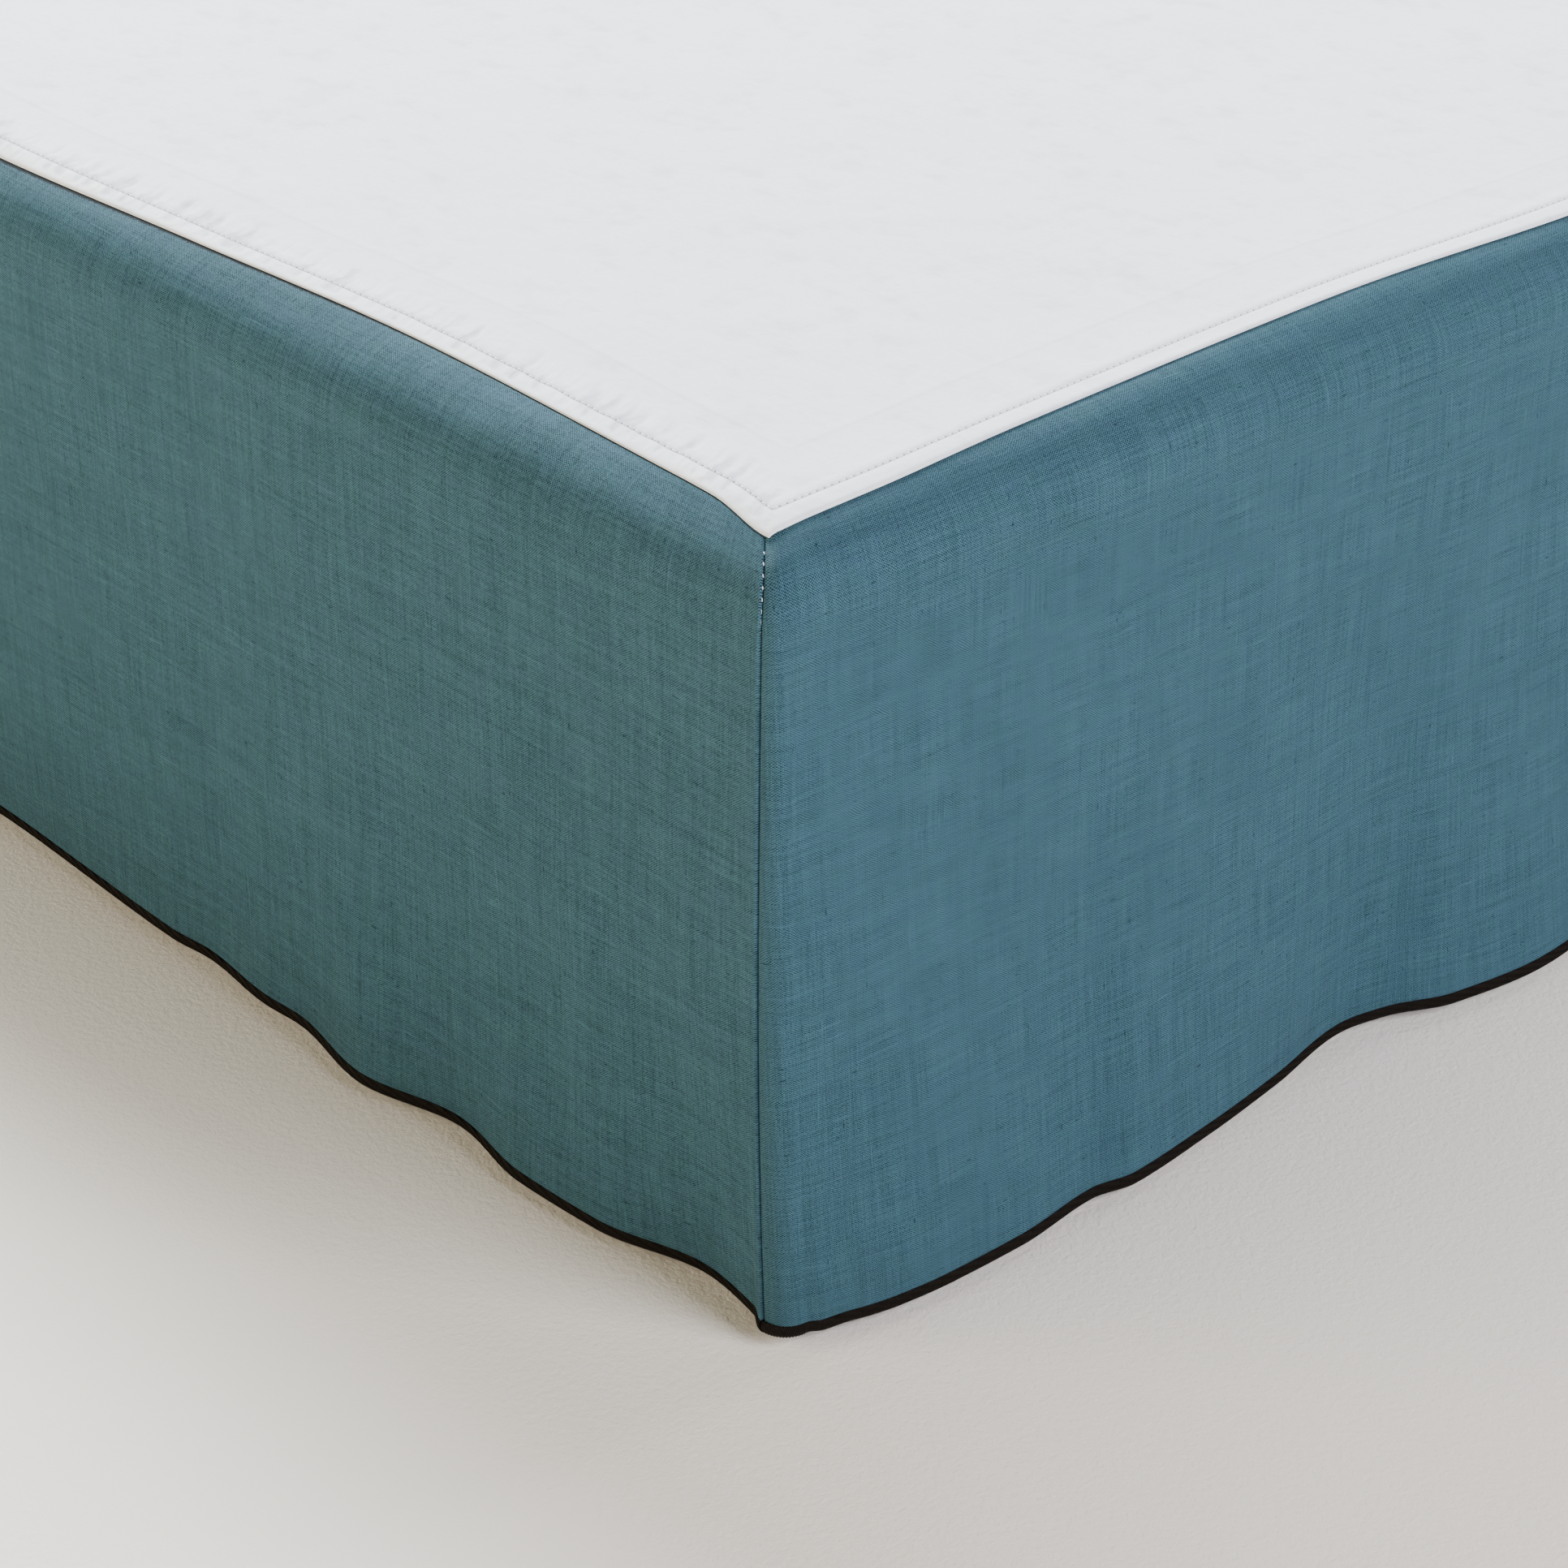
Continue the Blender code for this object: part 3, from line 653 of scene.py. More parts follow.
def whiteCotton():
    shader = Shader("white cotton", {"Metallic": 0.0, "IOR": 1.45, "Specular IOR Level": 0.3,
                                     "Sheen Weight": 0.08, "Sheen Roughness": 0.4})
    cloth = shader.weave()
    along, up = shader.split(cloth)[:2]
    crossing = ((along * (math.pi / cotton["pitch"])).sine()
                * (up * (math.pi / cotton["pitch"])).sine())
    thread = 1 / cotton["pitch"]
    upright = shader.noise(cloth, (thread * 0.4, 18, 7), 2.0, 0.6)
    level = shader.noise(cloth, (18, thread * 0.4, 7), 2.0, 0.6)
    crumple = shader.noise(cloth, (60, 75, 5), 3.0, 0.55)
    mottle = shader.noise(cloth, (330, 420, 5), 3.0, 0.6)
    cloud = shader.noise(cloth, (9, 7, 5), 2.0)
    tint = shader.noise(cloth, (46, 38, 9), 2.0).between(0.36, 0.64)
    streak = (upright - 0.5) + (level - 0.5) + (cloud - 0.5) * cotton["cloud"]
    streak = streak + (mottle - 0.5) * cotton["mottle"]
    colour = shader.mix(tint, cotton["warm"], cotton["cool"])
    colour = shader.mix((0 - streak).between(0.0, cotton["fullStreak"]), colour, cotton["shade"])
    colour = shader.mix(streak.between(0.0, cotton["fullStreak"]), colour, cotton["light"])
    seam = shader.node("ShaderNodeAttribute", {"attribute_name": "rim"}, {}, "Vector")
    fromEdge, stitchNumber, puckered = shader.split(seam)
    # painted shade in the needle holes between the stitches
    between = (stitchNumber * (2 * math.pi) + math.pi / 2).sine().between(*cotton["betweenStitches"])
    fromLine = fromEdge - deckCloth["stitchLine"]
    hole = between * (1 - abs(fromLine).between(cotton["holeWide"] * 0.5, cotton["holeWide"]))
    stitches, bandLine, borderLine, insideLine = rimShades.values()
    # painted shade along the stitch line, in a band inside it and at the border step
    paintedShade = softLine(fromLine, stitches) * stitches["share"]
    band = softLine(fromLine - bandLine["pastStitches"], bandLine)
    band = band * (bandLine["share"] + mottle * bandLine["mottled"])
    atBorder = deckCloth["border"]
    border = softLine(fromEdge - atBorder, borderLine) * borderLine["share"]
    inside = fromEdge.between(atBorder - insideLine["wide"], atBorder)
    inside = inside * (1 - fromEdge.between(atBorder, atBorder + insideLine["end"]))
    inside = inside * insideLine["share"]
    colour = shader.mix(paintedShade + band + border + inside, colour, cotton["paintedShade"])
    leaning = along + fromEdge * rimFolds["lean"]
    places = {0: leaning * rimFolds["along"], 1: fromEdge * rimFolds["inwards"],
              2: up * rimFolds["across"]}
    folds = shader.node("ShaderNodeCombineXYZ", {}, places)
    pucker = shader.noise(folds, (1, 1, 1), 1.0, 0.45) - 0.5
    reach = fromEdge.between(*rimFolds["start"]) * (1 - fromEdge.between(*rimFolds["end"]))
    pucker = pucker * reach * puckered
    crumples = cotton["crumples"]
    # painted shade in the hollows of the rim's folds and of the crumples
    hollowShade = ((0 - pucker).between(0.0, rimFolds["deep"]) * rimFolds["share"]
             + (0.5 - crumple).between(0.0, crumples["deep"]) * crumples["share"])
    colour = shader.mix(hollowShade, colour, cotton["paintedShade"])
    shader.feed("Base Color", shader.mix(hole, colour, cotton["hole"]))
    shader.feed("Roughness", cotton["rough"] - (level - 0.5) * 0.1)
    relief = cotton["relief"]
    height = abs(crossing) * relief["crossing"] + (upright + level) * relief["threads"]
    height = height + crumple * relief["crumple"] + mottle * relief["mottle"] - hole * relief["hole"]
    height = height + pucker * rimFolds["height"]
    shader.bump(height, cotton["threadDepth"], cotton["bump"])
    return shader.material


edgingThread = {
    "dark": (0.0025, 0.0018, 0.0012, 1), "light": (0.014, 0.0095, 0.0055, 1), "pitch": 0.00058,
}


# Threads wound side by side over the hem's raw edge
def darkThread():
    shader = Shader("dark edging thread", {"Metallic": 0.0, "IOR": 1.45, "Specular IOR Level": 0.08,
                                           "Sheen Weight": 0.01, "Sheen Roughness": 0.4})
    cloth = shader.weave()
    along, up = shader.split(cloth)[:2]
    slanted = along + up * 0.25
    rib = (slanted * (2 * math.pi / edgingThread["pitch"])).sine() * 0.5 + 0.5
    fray = shader.noise(cloth, (900, 350, 17), 2.0, 0.6)
    shade = rib * 0.55 + fray * 0.7 - 0.25
    colour = shader.mix(shade.between(0.0, 1.0), edgingThread["dark"], edgingThread["light"])
    shader.feed("Base Color", colour)
    shader.feed("Roughness", 0.72 - rib * 0.14)
    shader.bump(rib + fray * 0.8, 0.00018, 0.9)
    return shader.material


sewing = {
    "ply": (2600, 2600, 900), "plyDepth": 0.00005,
    "white": {"dark": (0.84, 0.83, 0.81, 1), "light": (0.95, 0.945, 0.93, 1), "rough": 0.6},
    "teal": {"dark": (0.004, 0.009, 0.011, 1), "light": (0.009, 0.019, 0.023, 1), "rough": 0.65},
}


def sewingThread(shade):
    shader = Shader(shade + " sewing thread", {"Metallic": 0.0, "Specular IOR Level": 0.4,
                                               "Sheen Weight": 0.1})
    thread = sewing[shade]
    ply = shader.noise(shader.weave(), sewing["ply"], 1.0)
    shader.feed("Base Color", shader.mix(ply.between(0.3, 0.7), thread["dark"], thread["light"]))
    shader.feed("Roughness", thread["rough"] + ply * 0.1)
    shader.bump(ply, sewing["plyDepth"], 0.6)
    return shader.material


teal = tealLinen()
white = whiteCotton()
dark = darkThread()
sewingWhite = sewingThread("white")
sewingTeal = sewingThread("teal")
print("materials made")


columnSpacing = {
    "atSeam": 0.0010, "growth": 0.12,       # closer together by the corner seams
    "closeUp": 0.0025, "far": 0.0090, "widening": 0.1,
}


# Places from 0 to a length, close together at both ends and in the close-up stretch
def growingPlaces(length, closeUp):
    places = [0.0]
    while places[-1] < length:
        here = places[-1]
        room = min(here, max(length - here, 0.0))
        cap = columnSpacing["far"]
        if here < closeUp:
            cap = columnSpacing["closeUp"]
        elif closeUp > 0:
            widened = (here - closeUp) * columnSpacing["widening"]
            cap = min(cap, columnSpacing["closeUp"] + widened)
        places.append(here + min(columnSpacing["atSeam"] + room * columnSpacing["growth"], cap))
    return np.array(places) * length / places[-1]


arcShares = np.array((0.0, 0.025, 0.055, 0.09, 0.13, 0.18, 0.24, 0.32, 0.42, 0.54, 0.68, 0.84))


def sideColumns(side):
    closeUp = cover["closeUp"] if side["name"] in ("foot", "right") else 0.0
    flat = growingPlaces(side["length"] - 2 * cover["corner"], closeUp)
    if side["fromEnd"]:
        flat = flat[-1] - flat[::-1]
    return {"start": arcShares, "flat": flat + cover["corner"], "end": arcShares[::-1]}


panel = {
    "hemGap": 0.0034,          # lower edge, hidden in the edging
    "rowClose": 0.0040, "rowFar": 0.0065,
    "allowance": (0.012, 0.008, 0.004, 0.0015),
    "shoulderRows": 15,
}


def panelRows(side):
    close = side["name"] in ("foot", "right")
    spacing = panel["rowClose"] if close else panel["rowFar"]
    foot = cover["drop"] - cover["shoulder"]
    count = int((foot - panel["hemGap"]) / spacing)
    heights = np.linspace(foot, panel["hemGap"], count)[1:]
    shares = np.linspace(1.0, 0.0, panel["shoulderRows"])
    return ([("allowance", value) for value in panel["allowance"]]
            + [("shoulder", value) for value in shares] + [("skirt", value) for value in heights])


# width of the painted shadow under the deck's edge along a side
def rimShadowWidth(side, along):
    near, far = linen["rimShadow"][side["name"]]
    return near + (far - near) * smoothStep(*linen["lineWidens"], fromTableStart(side, along))


def makePanel(number):
    side = sides[number]
    columns = sideColumns(side)
    foot = cover["drop"] - cover["shoulder"]
    outer = []
    inner = []
    weave = []
    below = []      # distance under the deck's seam, in widths of the painted shadow line there
    for zone, value in panelRows(side):
        row = sideRow(number, columns, zone, value)
        along = row[4]
        path = seamPath(side, np.clip(along, cover["corner"], side["length"] - cover["corner"]))
        up = {"skirt": along * 0 + value, "shoulder": foot + path * value,
              "allowance": foot + path + value}[zone]
        seamDistance = np.minimum(along - along[0], along[-1] - along)
        relief = panelRelief(number, along, up, foot + path, seamDistance)
        outer.append(liftedPoints(row, cover["face"] + relief))
        inner.append(liftedPoints(row, cover["face"] - cover["sheet"] + relief))
        weave.append(np.column_stack([along, up, along * 0 + weaveNumber["step"] * number]))
        below.append((foot + path - up) / rimShadowWidth(side, along))
    name = side["name"] + "_cloth"
    piece = closedSheet(name, np.array(outer), np.array(inner), np.array(weave), teal)
    storeNumbers(piece, "below", np.tile(np.array(below).ravel(), 2))
    print(name, triangleCount(piece), "triangles")
    return piece


panels = {side["name"]: makePanel(number) for number, side in enumerate(sides)}


# Small puckers across the rim of the foot, from the near corner on. reach: how far in from the
# edge they go; lean: sideways shift for each metre inwards
rimPuckers = {
    "at": (0.006, 0.013, 0.021, 0.028, 0.037, 0.046, 0.054, 0.066, 0.079, 0.090, 0.104, 0.121,
           0.142, 0.171, 0.205),
    "reach": (0.016, 0.021, 0.019, 0.024, 0.020, 0.026, 0.018, 0.024, 0.020, 0.027, 0.019, 0.022,
              0.018, 0.020, 0.018),
    "lean": (0.5, 0.7, 0.6, 0.8, 0.7, 0.9, 0.6, 0.8, 0.9, 0.7, 0.8, 0.7, 0.6, 0.8, 0.7),
    "wide": (0.0060, 0.0065, 0.0060, 0.0075, 0.0070, 0.0080, 0.0070, 0.0090, 0.0080, 0.0090,
             0.0085, 0.0100, 0.0090, 0.0110, 0.0110),
    "high": (0.0003, 0.0004, 0.0003, 0.0005, 0.0004, 0.0005, 0.0004, 0.0005, 0.0004, 0.0005,
             0.0004, 0.0005, 0.0004, 0.0004, 0.0003),
}

# Faint creases of the deck. x and y: middle; half: half length; turn: angle from +X
deckCreases = {
    "x": (0.52, 0.40, 0.30, 0.45, 0.15, 0.55, 0.20, -0.10, -0.35, 0.35, -0.45, 0.05, 0.50, 0.10),
    "y": (-0.72, -0.60, -0.78, -0.40, -0.55, -0.25, -0.20, -0.60, -0.20, 0.15, 0.30, 0.45, 0.60,
          -0.86),
    "half": (0.10, 0.12, 0.09, 0.14, 0.12, 0.16, 0.14, 0.20, 0.22, 0.20, 0.24, 0.22, 0.20, 0.12),
    "turn": (0.9, 2.3, 0.2, 1.2, 2.8, 0.7, 1.9, 0.4, 2.2, 1.1, 0.5, 2.6, 1.5, 0.1),
    "wide": (0.006, 0.008, 0.006, 0.010, 0.009, 0.010, 0.012, 0.014, 0.014, 0.014, 0.016, 0.014,
             0.014, 0.008),
    "high": (0.0004, -0.0003, 0.0003, 0.0004, -0.0004, 0.0004, 0.0005, -0.0006, 0.0007, -0.0006,
             0.0007, 0.0006, -0.0006, 0.0003),
}


# Where the seams run: x of the right and left rims at y, y of the foot and head rims at x
def rimAt(number, place):
    side = sides[number]
    shifted = (place - side["start"][0 if side["along"][0] else 1]) * sum(side["along"])
    along = shifted
    for repeat in range(3):
        along = shifted - cornerShift(number, along, "shoulder", 1.0)
    along = np.clip(along, cover["corner"], side["length"] - cover["corner"])
    inset = readTable(side["seam"], "inset", fromTableStart(side, along))
    axis = 0 if side["outward"][0] else 1
    return side["start"][axis] - side["outward"][axis] * inset


def deckPlaces(s, t):
    x = (s - 0.5) * cover["width"]
    y = (t - 0.5) * cover["length"]
    for repeat in range(5):
        right = rimAt(0, y)
        left = rimAt(2, y)
        head = rimAt(1, x)
        foot = rimAt(3, x)
        x = left + s * (right - left)
        y = foot + t * (head - foot)
    return x, y, (right - x, x - left, y - foot, head - y)


def deckRelief(x, y, distances):
    d = np.minimum.reduce(distances)
    rise = deckCloth["overPanels"] + cover["sheet"] - deckCloth["flat"]
    relief = rise * (1 - smoothStep(*deckCloth["step"], d))
    relief = relief - deckCloth["rollDepth"] * (1 - smoothStep(0.0, deckCloth["roll"], d)) ** 2
    relief = relief - deckCloth["stitchGroove"] * bell(d - deckCloth["stitchLine"],
                                                       deckCloth["stitchWide"])
    border = deckCloth["border"]
    before, past = deckCloth["borderStep"]
    relief = relief + deckCloth["borderHigh"] * (1 - smoothStep(border - before, border + past, d))
    fromFoot = distances[2]
    fromRight = distances[0]
    for at, reach, lean, wide, high in zip(*rimPuckers.values()):
        aside = fromRight - at - lean * fromFoot
        fade = smoothStep(reach * deckCloth["puckerFade"], reach, fromFoot)
        window = smoothStep(*deckCloth["puckerStart"], fromFoot) * (1 - fade)
        relief = relief + high * bell(aside, wide * 0.5) * window
    for cx, cy, half, turn, wide, high in zip(*deckCreases.values()):
        along = (x - cx) * math.cos(turn) + (y - cy) * math.sin(turn)
        aside = (y - cy) * math.cos(turn) - (x - cx) * math.sin(turn)
        window = np.maximum(0.0, 1 - (along / half) ** 2) ** 2
        relief = relief + high * bell(aside, wide) * window * smoothStep(*deckCloth["creaseStart"], d)
    swells = deckCloth["swells"] * uneven(x, y, swellShift["deck"])
    return relief + swells * smoothStep(*deckCloth["swellStart"], d)


def deckPoints(s, t, drop):
    x, y, distances = deckPlaces(s, t)
    radius = cover["shoulder"]
    inset = np.minimum(cover["width"] / 2 - np.abs(x), cover["length"] / 2 - np.abs(y))
    bend = np.clip(1 - inset / radius, 0, 1)
    base = -radius * (1 - np.sqrt(1 - bend ** 2))
    lift = deckCloth["flat"] + deckRelief(x, y, distances) - drop
    z = base + lift - dipAt(np.stack([x, y], -1))
    return np.stack([x, y, z], -1)


# Distances between the deck's lines of faces, which grow from the rim and shrink to the other rim
lineSpacing = {"first": 0.0024, "growth": 0.12, "widening": 0.15, "last": 0.003, "shrinking": 0.2}


def deckLines(length):
    rim = list(deckCloth["rimLines"])
    places = list(rim)
    while places[-1] < length - rim[-1]:
        cap = deckCloth["closeLine"]
        if places[-1] > cover["closeUp"]:
            widened = (places[-1] - cover["closeUp"]) * lineSpacing["widening"]
            cap = min(deckCloth["farLine"], cap + widened)
        room = max(length - rim[-1] - places[-1], 0.0)
        grown = lineSpacing["first"] + lineSpacing["growth"] * (places[-1] - rim[-1])
        left = lineSpacing["last"] + lineSpacing["shrinking"] * room
        places.append(places[-1] + min(grown, cap, left))
    middle = np.array(places[len(rim) - 1:])
    middle = rim[-1] + (middle - middle[0]) * (length - 2 * rim[-1]) / (middle[-1] - middle[0])
    return np.concatenate([rim[:-1], middle, length - np.array(rim[:-1])[::-1]]) / length


# Distance from the edge, and place along the topstitch counted in stitches, for the painted shade in
# the needle holes
def storeRim(piece, gridS, gridT):
    distances = np.stack(deckPlaces(gridS, gridT)[2])
    nearest = distances.argmin(axis=0)
    alongS = (gridS - stitchInset["s"]) / (1 - 2 * stitchInset["s"]) * stitchCounts["s"]
    alongT = (gridT - stitchInset["t"]) / (1 - 2 * stitchInset["t"]) * stitchCounts["t"]
    number = np.where(nearest < 2, alongT, alongS)
    puckered = np.array(deckCloth["puckered"])[nearest]
    rim = np.stack([distances.min(axis=0), number, puckered], -1).reshape(-1, 3)
    storeNumbers(piece, "rim", np.concatenate([rim, rim]))


deckSpan = {"s": cover["width"] - 0.040, "t": cover["length"] - 0.040}


def makeDeck():
    s = 1 - deckLines(deckSpan["s"])[::-1]
    t = deckLines(deckSpan["t"])
    gridS, gridT = np.meshgrid(s, t, indexing="ij")
    top = deckPoints(gridS, gridT, 0.0)
    under = deckPoints(gridS, gridT, cover["sheet"])
    weave = np.concatenate([top[..., :2], top[..., :1] * 0 + weaveNumber["deck"]], -1)
    piece = closedSheet("deck_cloth", top, under, weave, white)
    storeRim(piece, gridS, gridT)
    print("deck_cloth", triangleCount(piece), "triangles")
    return piece


stitch = {"pitch": 0.0033, "long": 0.0025, "thick": 0.00080, "sides": 6, "lift": 0.00016}
stitchInset = {"s": deckCloth["stitchLine"] / deckSpan["s"],
               "t": deckCloth["stitchLine"] / deckSpan["t"]}
stitchCounts = {axis: int(span / stitch["pitch"]) for axis, span in deckSpan.items()}

deck = makeDeck()


seamStitch = {
    "pitch": 0.0037, "long": 0.00080, "thick": 0.00050, "sides": 6,
    "first": 0.0052,            # from the deck's corner, along the seam
    "slant": 0.35,              # towards the right side, for each metre down
    "sunk": 0.0007,             # below the panels' outer face
    "reach": 0.286,             # from the deck's corner to the last stitch
    "darkSize": 0.6,
    "whiteSizes": (0.9, 1.0, 1.0, 1.0, 1.0, 0.95, 0.95, 0.75, 0.7, 0.5, 0.6, 0.5, 0.5),
}

stitchRings = {"along": (-0.50, -0.34, 0.34, 0.50), "size": (0.45, 1.0, 1.0, 0.45),
               "sink": (0.9, 0.0, 0.0, 0.9)}
stitchDive = 1.6                # how far a full sink goes, in the thread's radii
lookAhead = {"topstitch": 0.3, "seam": 0.0005}      # in stitches, and in metres


# One joined mesh of short rounded stitches that dive into the cloth at both ends
def makeStitches(name, middles, directions, normals, thread, material, sizes=1.0):
    count = len(middles)
    scale = np.broadcast_to(sizes, count)[:, None]
    aside = np.cross(directions, normals)
    angles = np.arange(thread["sides"]) * 2 * math.pi / thread["sides"]
    radius = thread["thick"] / 2
    rings = []
    for along, size, sink in zip(*stitchRings.values()):
        centre = middles + scale * (directions * along * thread["long"]
                                    - normals * sink * radius * stitchDive)
        for angle in angles:
            around = aside * math.cos(angle) + normals * math.sin(angle)
            rings.append(centre + scale * radius * size * around)
    points = np.array(rings).transpose(1, 0, 2)
    perStitch = points.shape[1]
    sidesCount = thread["sides"]
    faces = []
    for ring in range(len(stitchRings["along"]) - 1):
        for side in range(sidesCount):
            after = (side + 1) % sidesCount
            low = ring * sidesCount
            high = low + sidesCount
            faces.append([low + side, low + after, high + after, high + side])
    quads = np.array(faces)
    allQuads = (np.arange(count)[:, None, None] * perStitch + quads).reshape(-1, 4).tolist()
    caps = np.array([list(range(sidesCount))[::-1], list(range(perStitch - sidesCount, perStitch))])
    allCaps = (np.arange(count)[:, None, None] * perStitch + caps).reshape(-1, sidesCount).tolist()
    piece = meshPiece(name, points.reshape(-1, 3), allQuads + allCaps, material,
                      sharpAngle["thread"])
    storeNumbers(piece, "weave", points.reshape(-1, 3))
    print(name, triangleCount(piece), "triangles")
    return piece


def unit(vectors):
    return vectors / np.linalg.norm(vectors, axis=-1, keepdims=True)


# The topstitch runs round the deck, a little way in from its edge
def makeTopstitch():
    lineS = stitchInset["s"]
    lineT = stitchInset["t"]
    corners = ((1 - lineS, lineT), (1 - lineS, 1 - lineT), (lineS, 1 - lineT), (lineS, lineT))
    middles = []
    ahead = []
    for number, here in enumerate(corners):
        there = corners[(number + 1) % 4]
        count = stitchCounts["t" if number % 2 == 0 else "s"]
        share = (np.arange(count) + 0.5) / count
        for step, target in ((0.0, middles), (lookAhead["topstitch"] / count, ahead)):
            s = here[0] + (there[0] - here[0]) * (share + step)
            t = here[1] + (there[1] - here[1]) * (share + step)
            target.append(deckPoints(s, t, 0.0))
    middles = np.concatenate(middles)
    directions = unit(np.concatenate(ahead) - middles)
    up = np.array((0.0, 0.0, 1.0))
    normals = unit(up - directions * (directions @ up)[:, None])
    return makeStitches("topstitch", middles + normals * stitch["lift"], directions, normals,
                        stitch, sewingWhite)


topstitch = makeTopstitch()


# Places of stitches down each corner seam, from the deck's corner over the shoulder to the hem
def seamPoint(number, reach):
    side = sides[number]
    columns = {"start": np.array((0.0, 0.10)), "flat": np.array((0.02,)), "end": np.array((0.0,))}
    path = float(seamPath(side, np.array(cover["corner"])))
    foot = cover["drop"] - cover["shoulder"]
    if reach < path:
        row = sideRow(number, columns, "shoulder", 1 - reach / path)
    else:
        row = sideRow(number, columns, "skirt", foot - (reach - path))
    point = liftedPoints(row, cover["face"] - seamStitch["sunk"] + row[4] * 0)[0]
    tilt = float(np.ravel(row[2])[0])
    return point, np.append(row[1][0] * math.sin(tilt), math.cos(tilt))


def seamStitchPlaces(first, count):
    middles = []
    directions = []
    normals = []
    for number in range(4):
        for k in range(first, first + count):
            reach = seamStitch["first"] + k * seamStitch["pitch"]
            middle, normal = seamPoint(number, reach)
            below = seamPoint(number, reach + lookAhead["seam"])[0]
            down = unit(below - middle)
            middles.append(middle)
            normals.append(normal)
            directions.append(unit(down + seamStitch["slant"] * np.cross(normal, down)))
    return np.array(middles), np.array(directions), np.array(normals)


whiteCount = len(seamStitch["whiteSizes"])
darkCount = int(seamStitch["reach"] / seamStitch["pitch"]) - whiteCount
upperStitches = makeStitches("corner_stitches_white", *seamStitchPlaces(0, whiteCount),
                             seamStitch, sewingWhite, np.tile(seamStitch["whiteSizes"], 4))
lowerStitches = makeStitches("corner_stitches_dark", *seamStitchPlaces(whiteCount, darkCount),
                             seamStitch, sewingTeal, seamStitch["darkSize"])


edging = {
    "middle": 0.0022, "tall": 0.0027, "thick": 0.00140,    # half sizes of the section
    "centre": 0.0008,           # out from the panel's plumb face
    "pinch": 0.84,              # between two threads
    "points": 8,
    "closeRib": 0.00062, "farRib": 0.00125,
    "overlap": 0.02, "arcSteps": 32,    # at the corners, where the ends meet inside each other
}


def ribPlaces(side, length):
    reach = cover["closeUp"] if side["name"] in ("foot", "right") else 0.0
    close = np.arange(0, reach, edging["closeRib"] / 2)
    count = int((length - reach) / edging["farRib"]) * 2
    far = np.linspace(reach, length, count + 1)
    places = np.concatenate([close, far])
    return length - places[::-1] if side["fromEnd"] else places


def makeEdging(number):
    side = sides[number]
    corner = cover["corner"]
    flat = ribPlaces(side, side["length"] - 2 * corner) + corner
    arc = np.concatenate([[-edging["overlap"]], np.linspace(0, 1, edging["arcSteps"])[:-1]])
    columns = {"start": arc, "flat": flat, "end": arc[::-1]}
    total = len(flat) + 2 * len(arc)
    bulge = np.where(np.arange(total) % 2 == 0, 1.0, edging["pinch"])
    bulge[0] = 1.0
    bulge[-1] = 1.0
    rings = []
    weave = []
    for k in range(edging["points"]):
        angle = 2 * math.pi * (k + 0.5) / edging["points"]
        height = edging["middle"] - edging["tall"] * bulge * math.sin(angle)
        row = sideRow(number, columns, "skirt", np.maximum(height, 0.0))
        row[2][:] = height - cover["drop"]
        lift = edging["centre"] + edging["thick"] * bulge * math.cos(angle)
        rings.append(liftedPoints(row, lift))
        weave.append(np.column_stack([row[4], height, lift]))
    points = np.array(rings).transpose(1, 0, 2)
    size = edging["points"]
    index = np.arange(total * size).reshape(total, size)
    after = np.roll(index, -1, axis=1)
    quads = np.stack([index[:-1], after[:-1], after[1:], index[1:]], -1).reshape(-1, 4).tolist()
    caps = [index[0, ::-1].tolist(), index[-1].tolist()]
    name = "edging_" + side["name"]
    piece = meshPiece(name, points.reshape(-1, 3), quads + caps, dark, sharpAngle["thread"])
    storeNumbers(piece, "weave", np.array(weave).transpose(1, 0, 2).reshape(-1, 3))
    print(name, triangleCount(piece), "triangles")
    return piece


edgings = {side["name"]: makeEdging(number) for number, side in enumerate(sides)}


floorPlan = {
    "size": 9.0, "level": -0.306, "dark": (0.885, 0.815, 0.705, 1), "light": (0.925, 0.855, 0.745, 1),
    "grain": 420, "cloud": 3, "rough": 0.85, "grainDepth": 0.0007, "bump": 0.6,
}


def makeFloor():
    shader = Shader("pale floor", {"Metallic": 0.0, "Specular IOR Level": 0.2})
    place = shader.node("ShaderNodeTexCoord", {}, {}, "Object")
    grain = shader.noise(place, (floorPlan["grain"],) * 3, 2.0, 0.6)
    cloud = shader.noise(place, (floorPlan["cloud"],) * 3, 2.0)
    colour = shader.mix(cloud.between(0.3, 0.7), floorPlan["dark"], floorPlan["light"])
    shader.feed("Base Color", colour)
    shader.feed("Roughness", floorPlan["rough"] - cloud * 0.1)
    shader.bump(grain, floorPlan["grainDepth"], floorPlan["bump"])
    half = floorPlan["size"] / 2
    points = np.array(((-half, -half, 0), (half, -half, 0), (half, half, 0), (-half, half, 0)))
    floor = meshPiece("floor", points + (0, 0, floorPlan["level"]), [[0, 1, 2, 3]],
                      shader.material, sharpAngle["sheet"])


makeFloor()


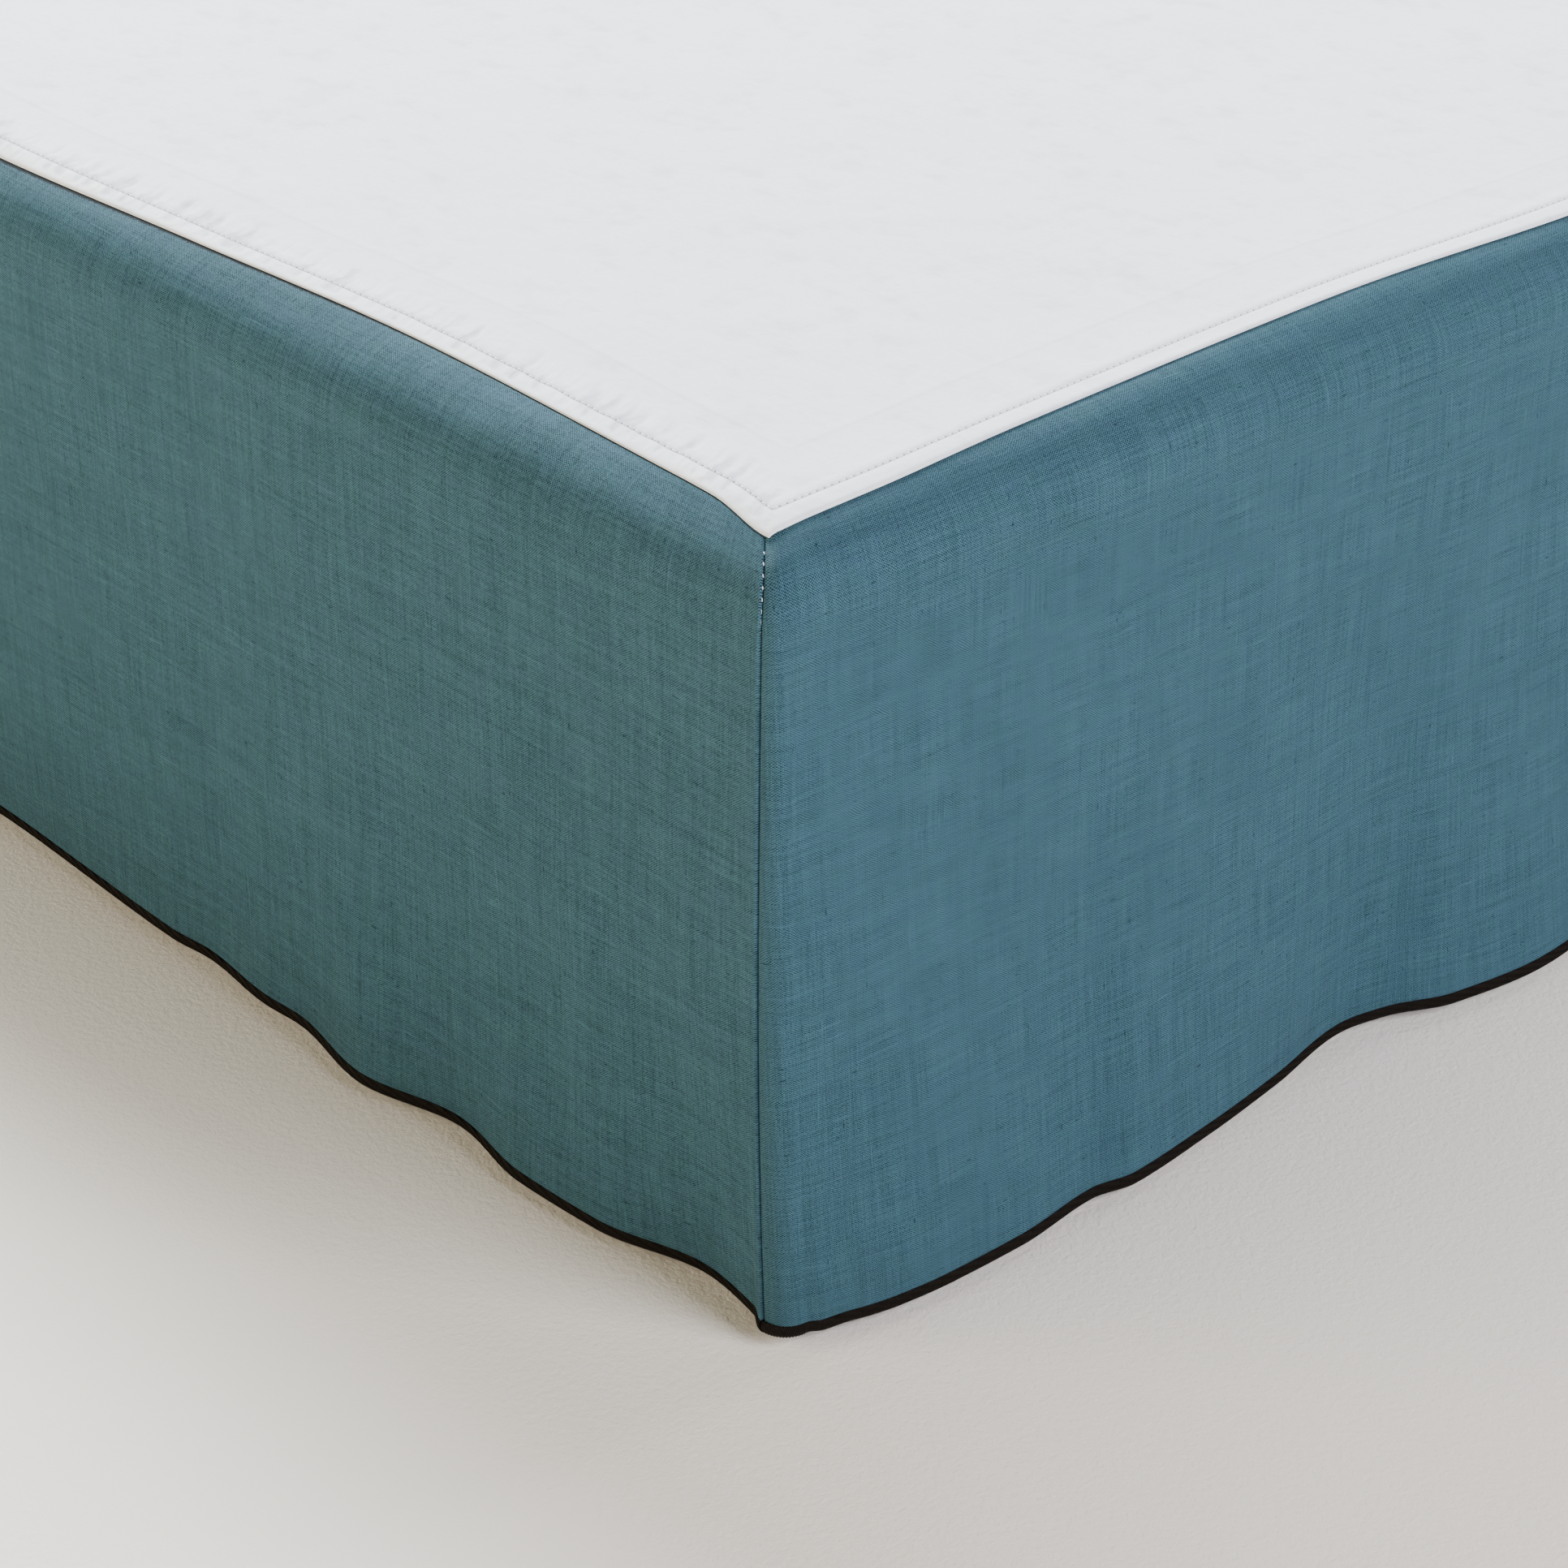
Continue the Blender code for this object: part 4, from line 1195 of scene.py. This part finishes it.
lights = {
    "left": {"at": (-2.6, 0.45, 2.2), "to": (0.2, -0.7, 0.0), "size": 1.4, "power": 690.0,
             "colour": (0.86, 0.93, 1.0)},
    "back": {"at": (0.2, 3.4, 2.2), "to": (0.4, -0.6, 0.0), "size": 2.4, "power": 126.0,
             "colour": (0.98, 0.98, 1.0)},
    "right": {"at": (3.0, -0.35, 1.15), "to": (0.7, -0.7, -0.1), "size": 1.6, "power": 136.0,
              "colour": (0.87, 0.885, 1.0)},
    "foot": {"at": (-0.6, -3.4, 0.6), "to": (0.2, -0.9, -0.1), "size": 2.4, "power": 112.0,
             "colour": (1.0, 0.90, 0.70)},
}
surroundings = {"colour": (1.0, 1.0, 1.0, 1), "strength": 0.045}


def makeLights():
    for name, values in lights.items():
        lamp = bpy.data.lights.new(name, "AREA")
        lamp.shape = "SQUARE"
        lamp.size = values["size"]
        lamp.energy = values["power"]
        lamp.color = values["colour"]
        item = bpy.data.objects.new(name, lamp)
        item.location = values["at"]
        aim = Vector(values["to"]) - Vector(values["at"])
        item.rotation_euler = aim.to_track_quat("-Z", "Y").to_euler()
        bpy.context.scene.collection.objects.link(item)
    world = bpy.data.worlds.new("studio")
    world.use_nodes = True
    background = world.node_tree.nodes["Background"]
    background.inputs["Color"].default_value = surroundings["colour"]
    background.inputs["Strength"].default_value = surroundings["strength"]
    bpy.context.scene.world = world


makeLights()


viewpoint = {
    "at": (1.528, -1.690, 0.551),
    "azimuth": 48.0, "elevation": 29.5,    # degrees: round from the foot, and down
    "lens": 91.8, "sensor": 36.0,          # millimetres
    "clip": (0.02, 50.0),
}


def makeCamera():
    camera = bpy.data.objects.new("camera", bpy.data.cameras.new("camera"))
    camera.data.lens = viewpoint["lens"]
    camera.data.sensor_width = viewpoint["sensor"]
    camera.data.clip_start, camera.data.clip_end = viewpoint["clip"]
    azimuth = math.radians(viewpoint["azimuth"])
    elevation = math.radians(viewpoint["elevation"])
    back = Vector((math.sin(azimuth) * math.cos(elevation),
                   -math.cos(azimuth) * math.cos(elevation), math.sin(elevation)))
    right = Vector((math.cos(azimuth), math.sin(azimuth), 0.0))
    turn = Matrix((right, back.cross(right), back)).transposed()
    camera.matrix_world = Matrix.Translation(viewpoint["at"]) @ turn.to_4x4()
    bpy.context.scene.collection.objects.link(camera)
    bpy.context.scene.camera = camera


makeCamera()
print("stage set")


for name, piece in panels.items():
    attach(piece, "root")
    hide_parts(name + "_panel")
    length = cover["length"] if name in ("left", "right") else cover["width"]

for name, piece in edgings.items():
    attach(piece, "root")
    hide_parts("hem_edging")

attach(deck, "root")
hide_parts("deck")

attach(topstitch, "root")
for piece in (upperStitches, lowerStitches):
    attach(piece, "root")
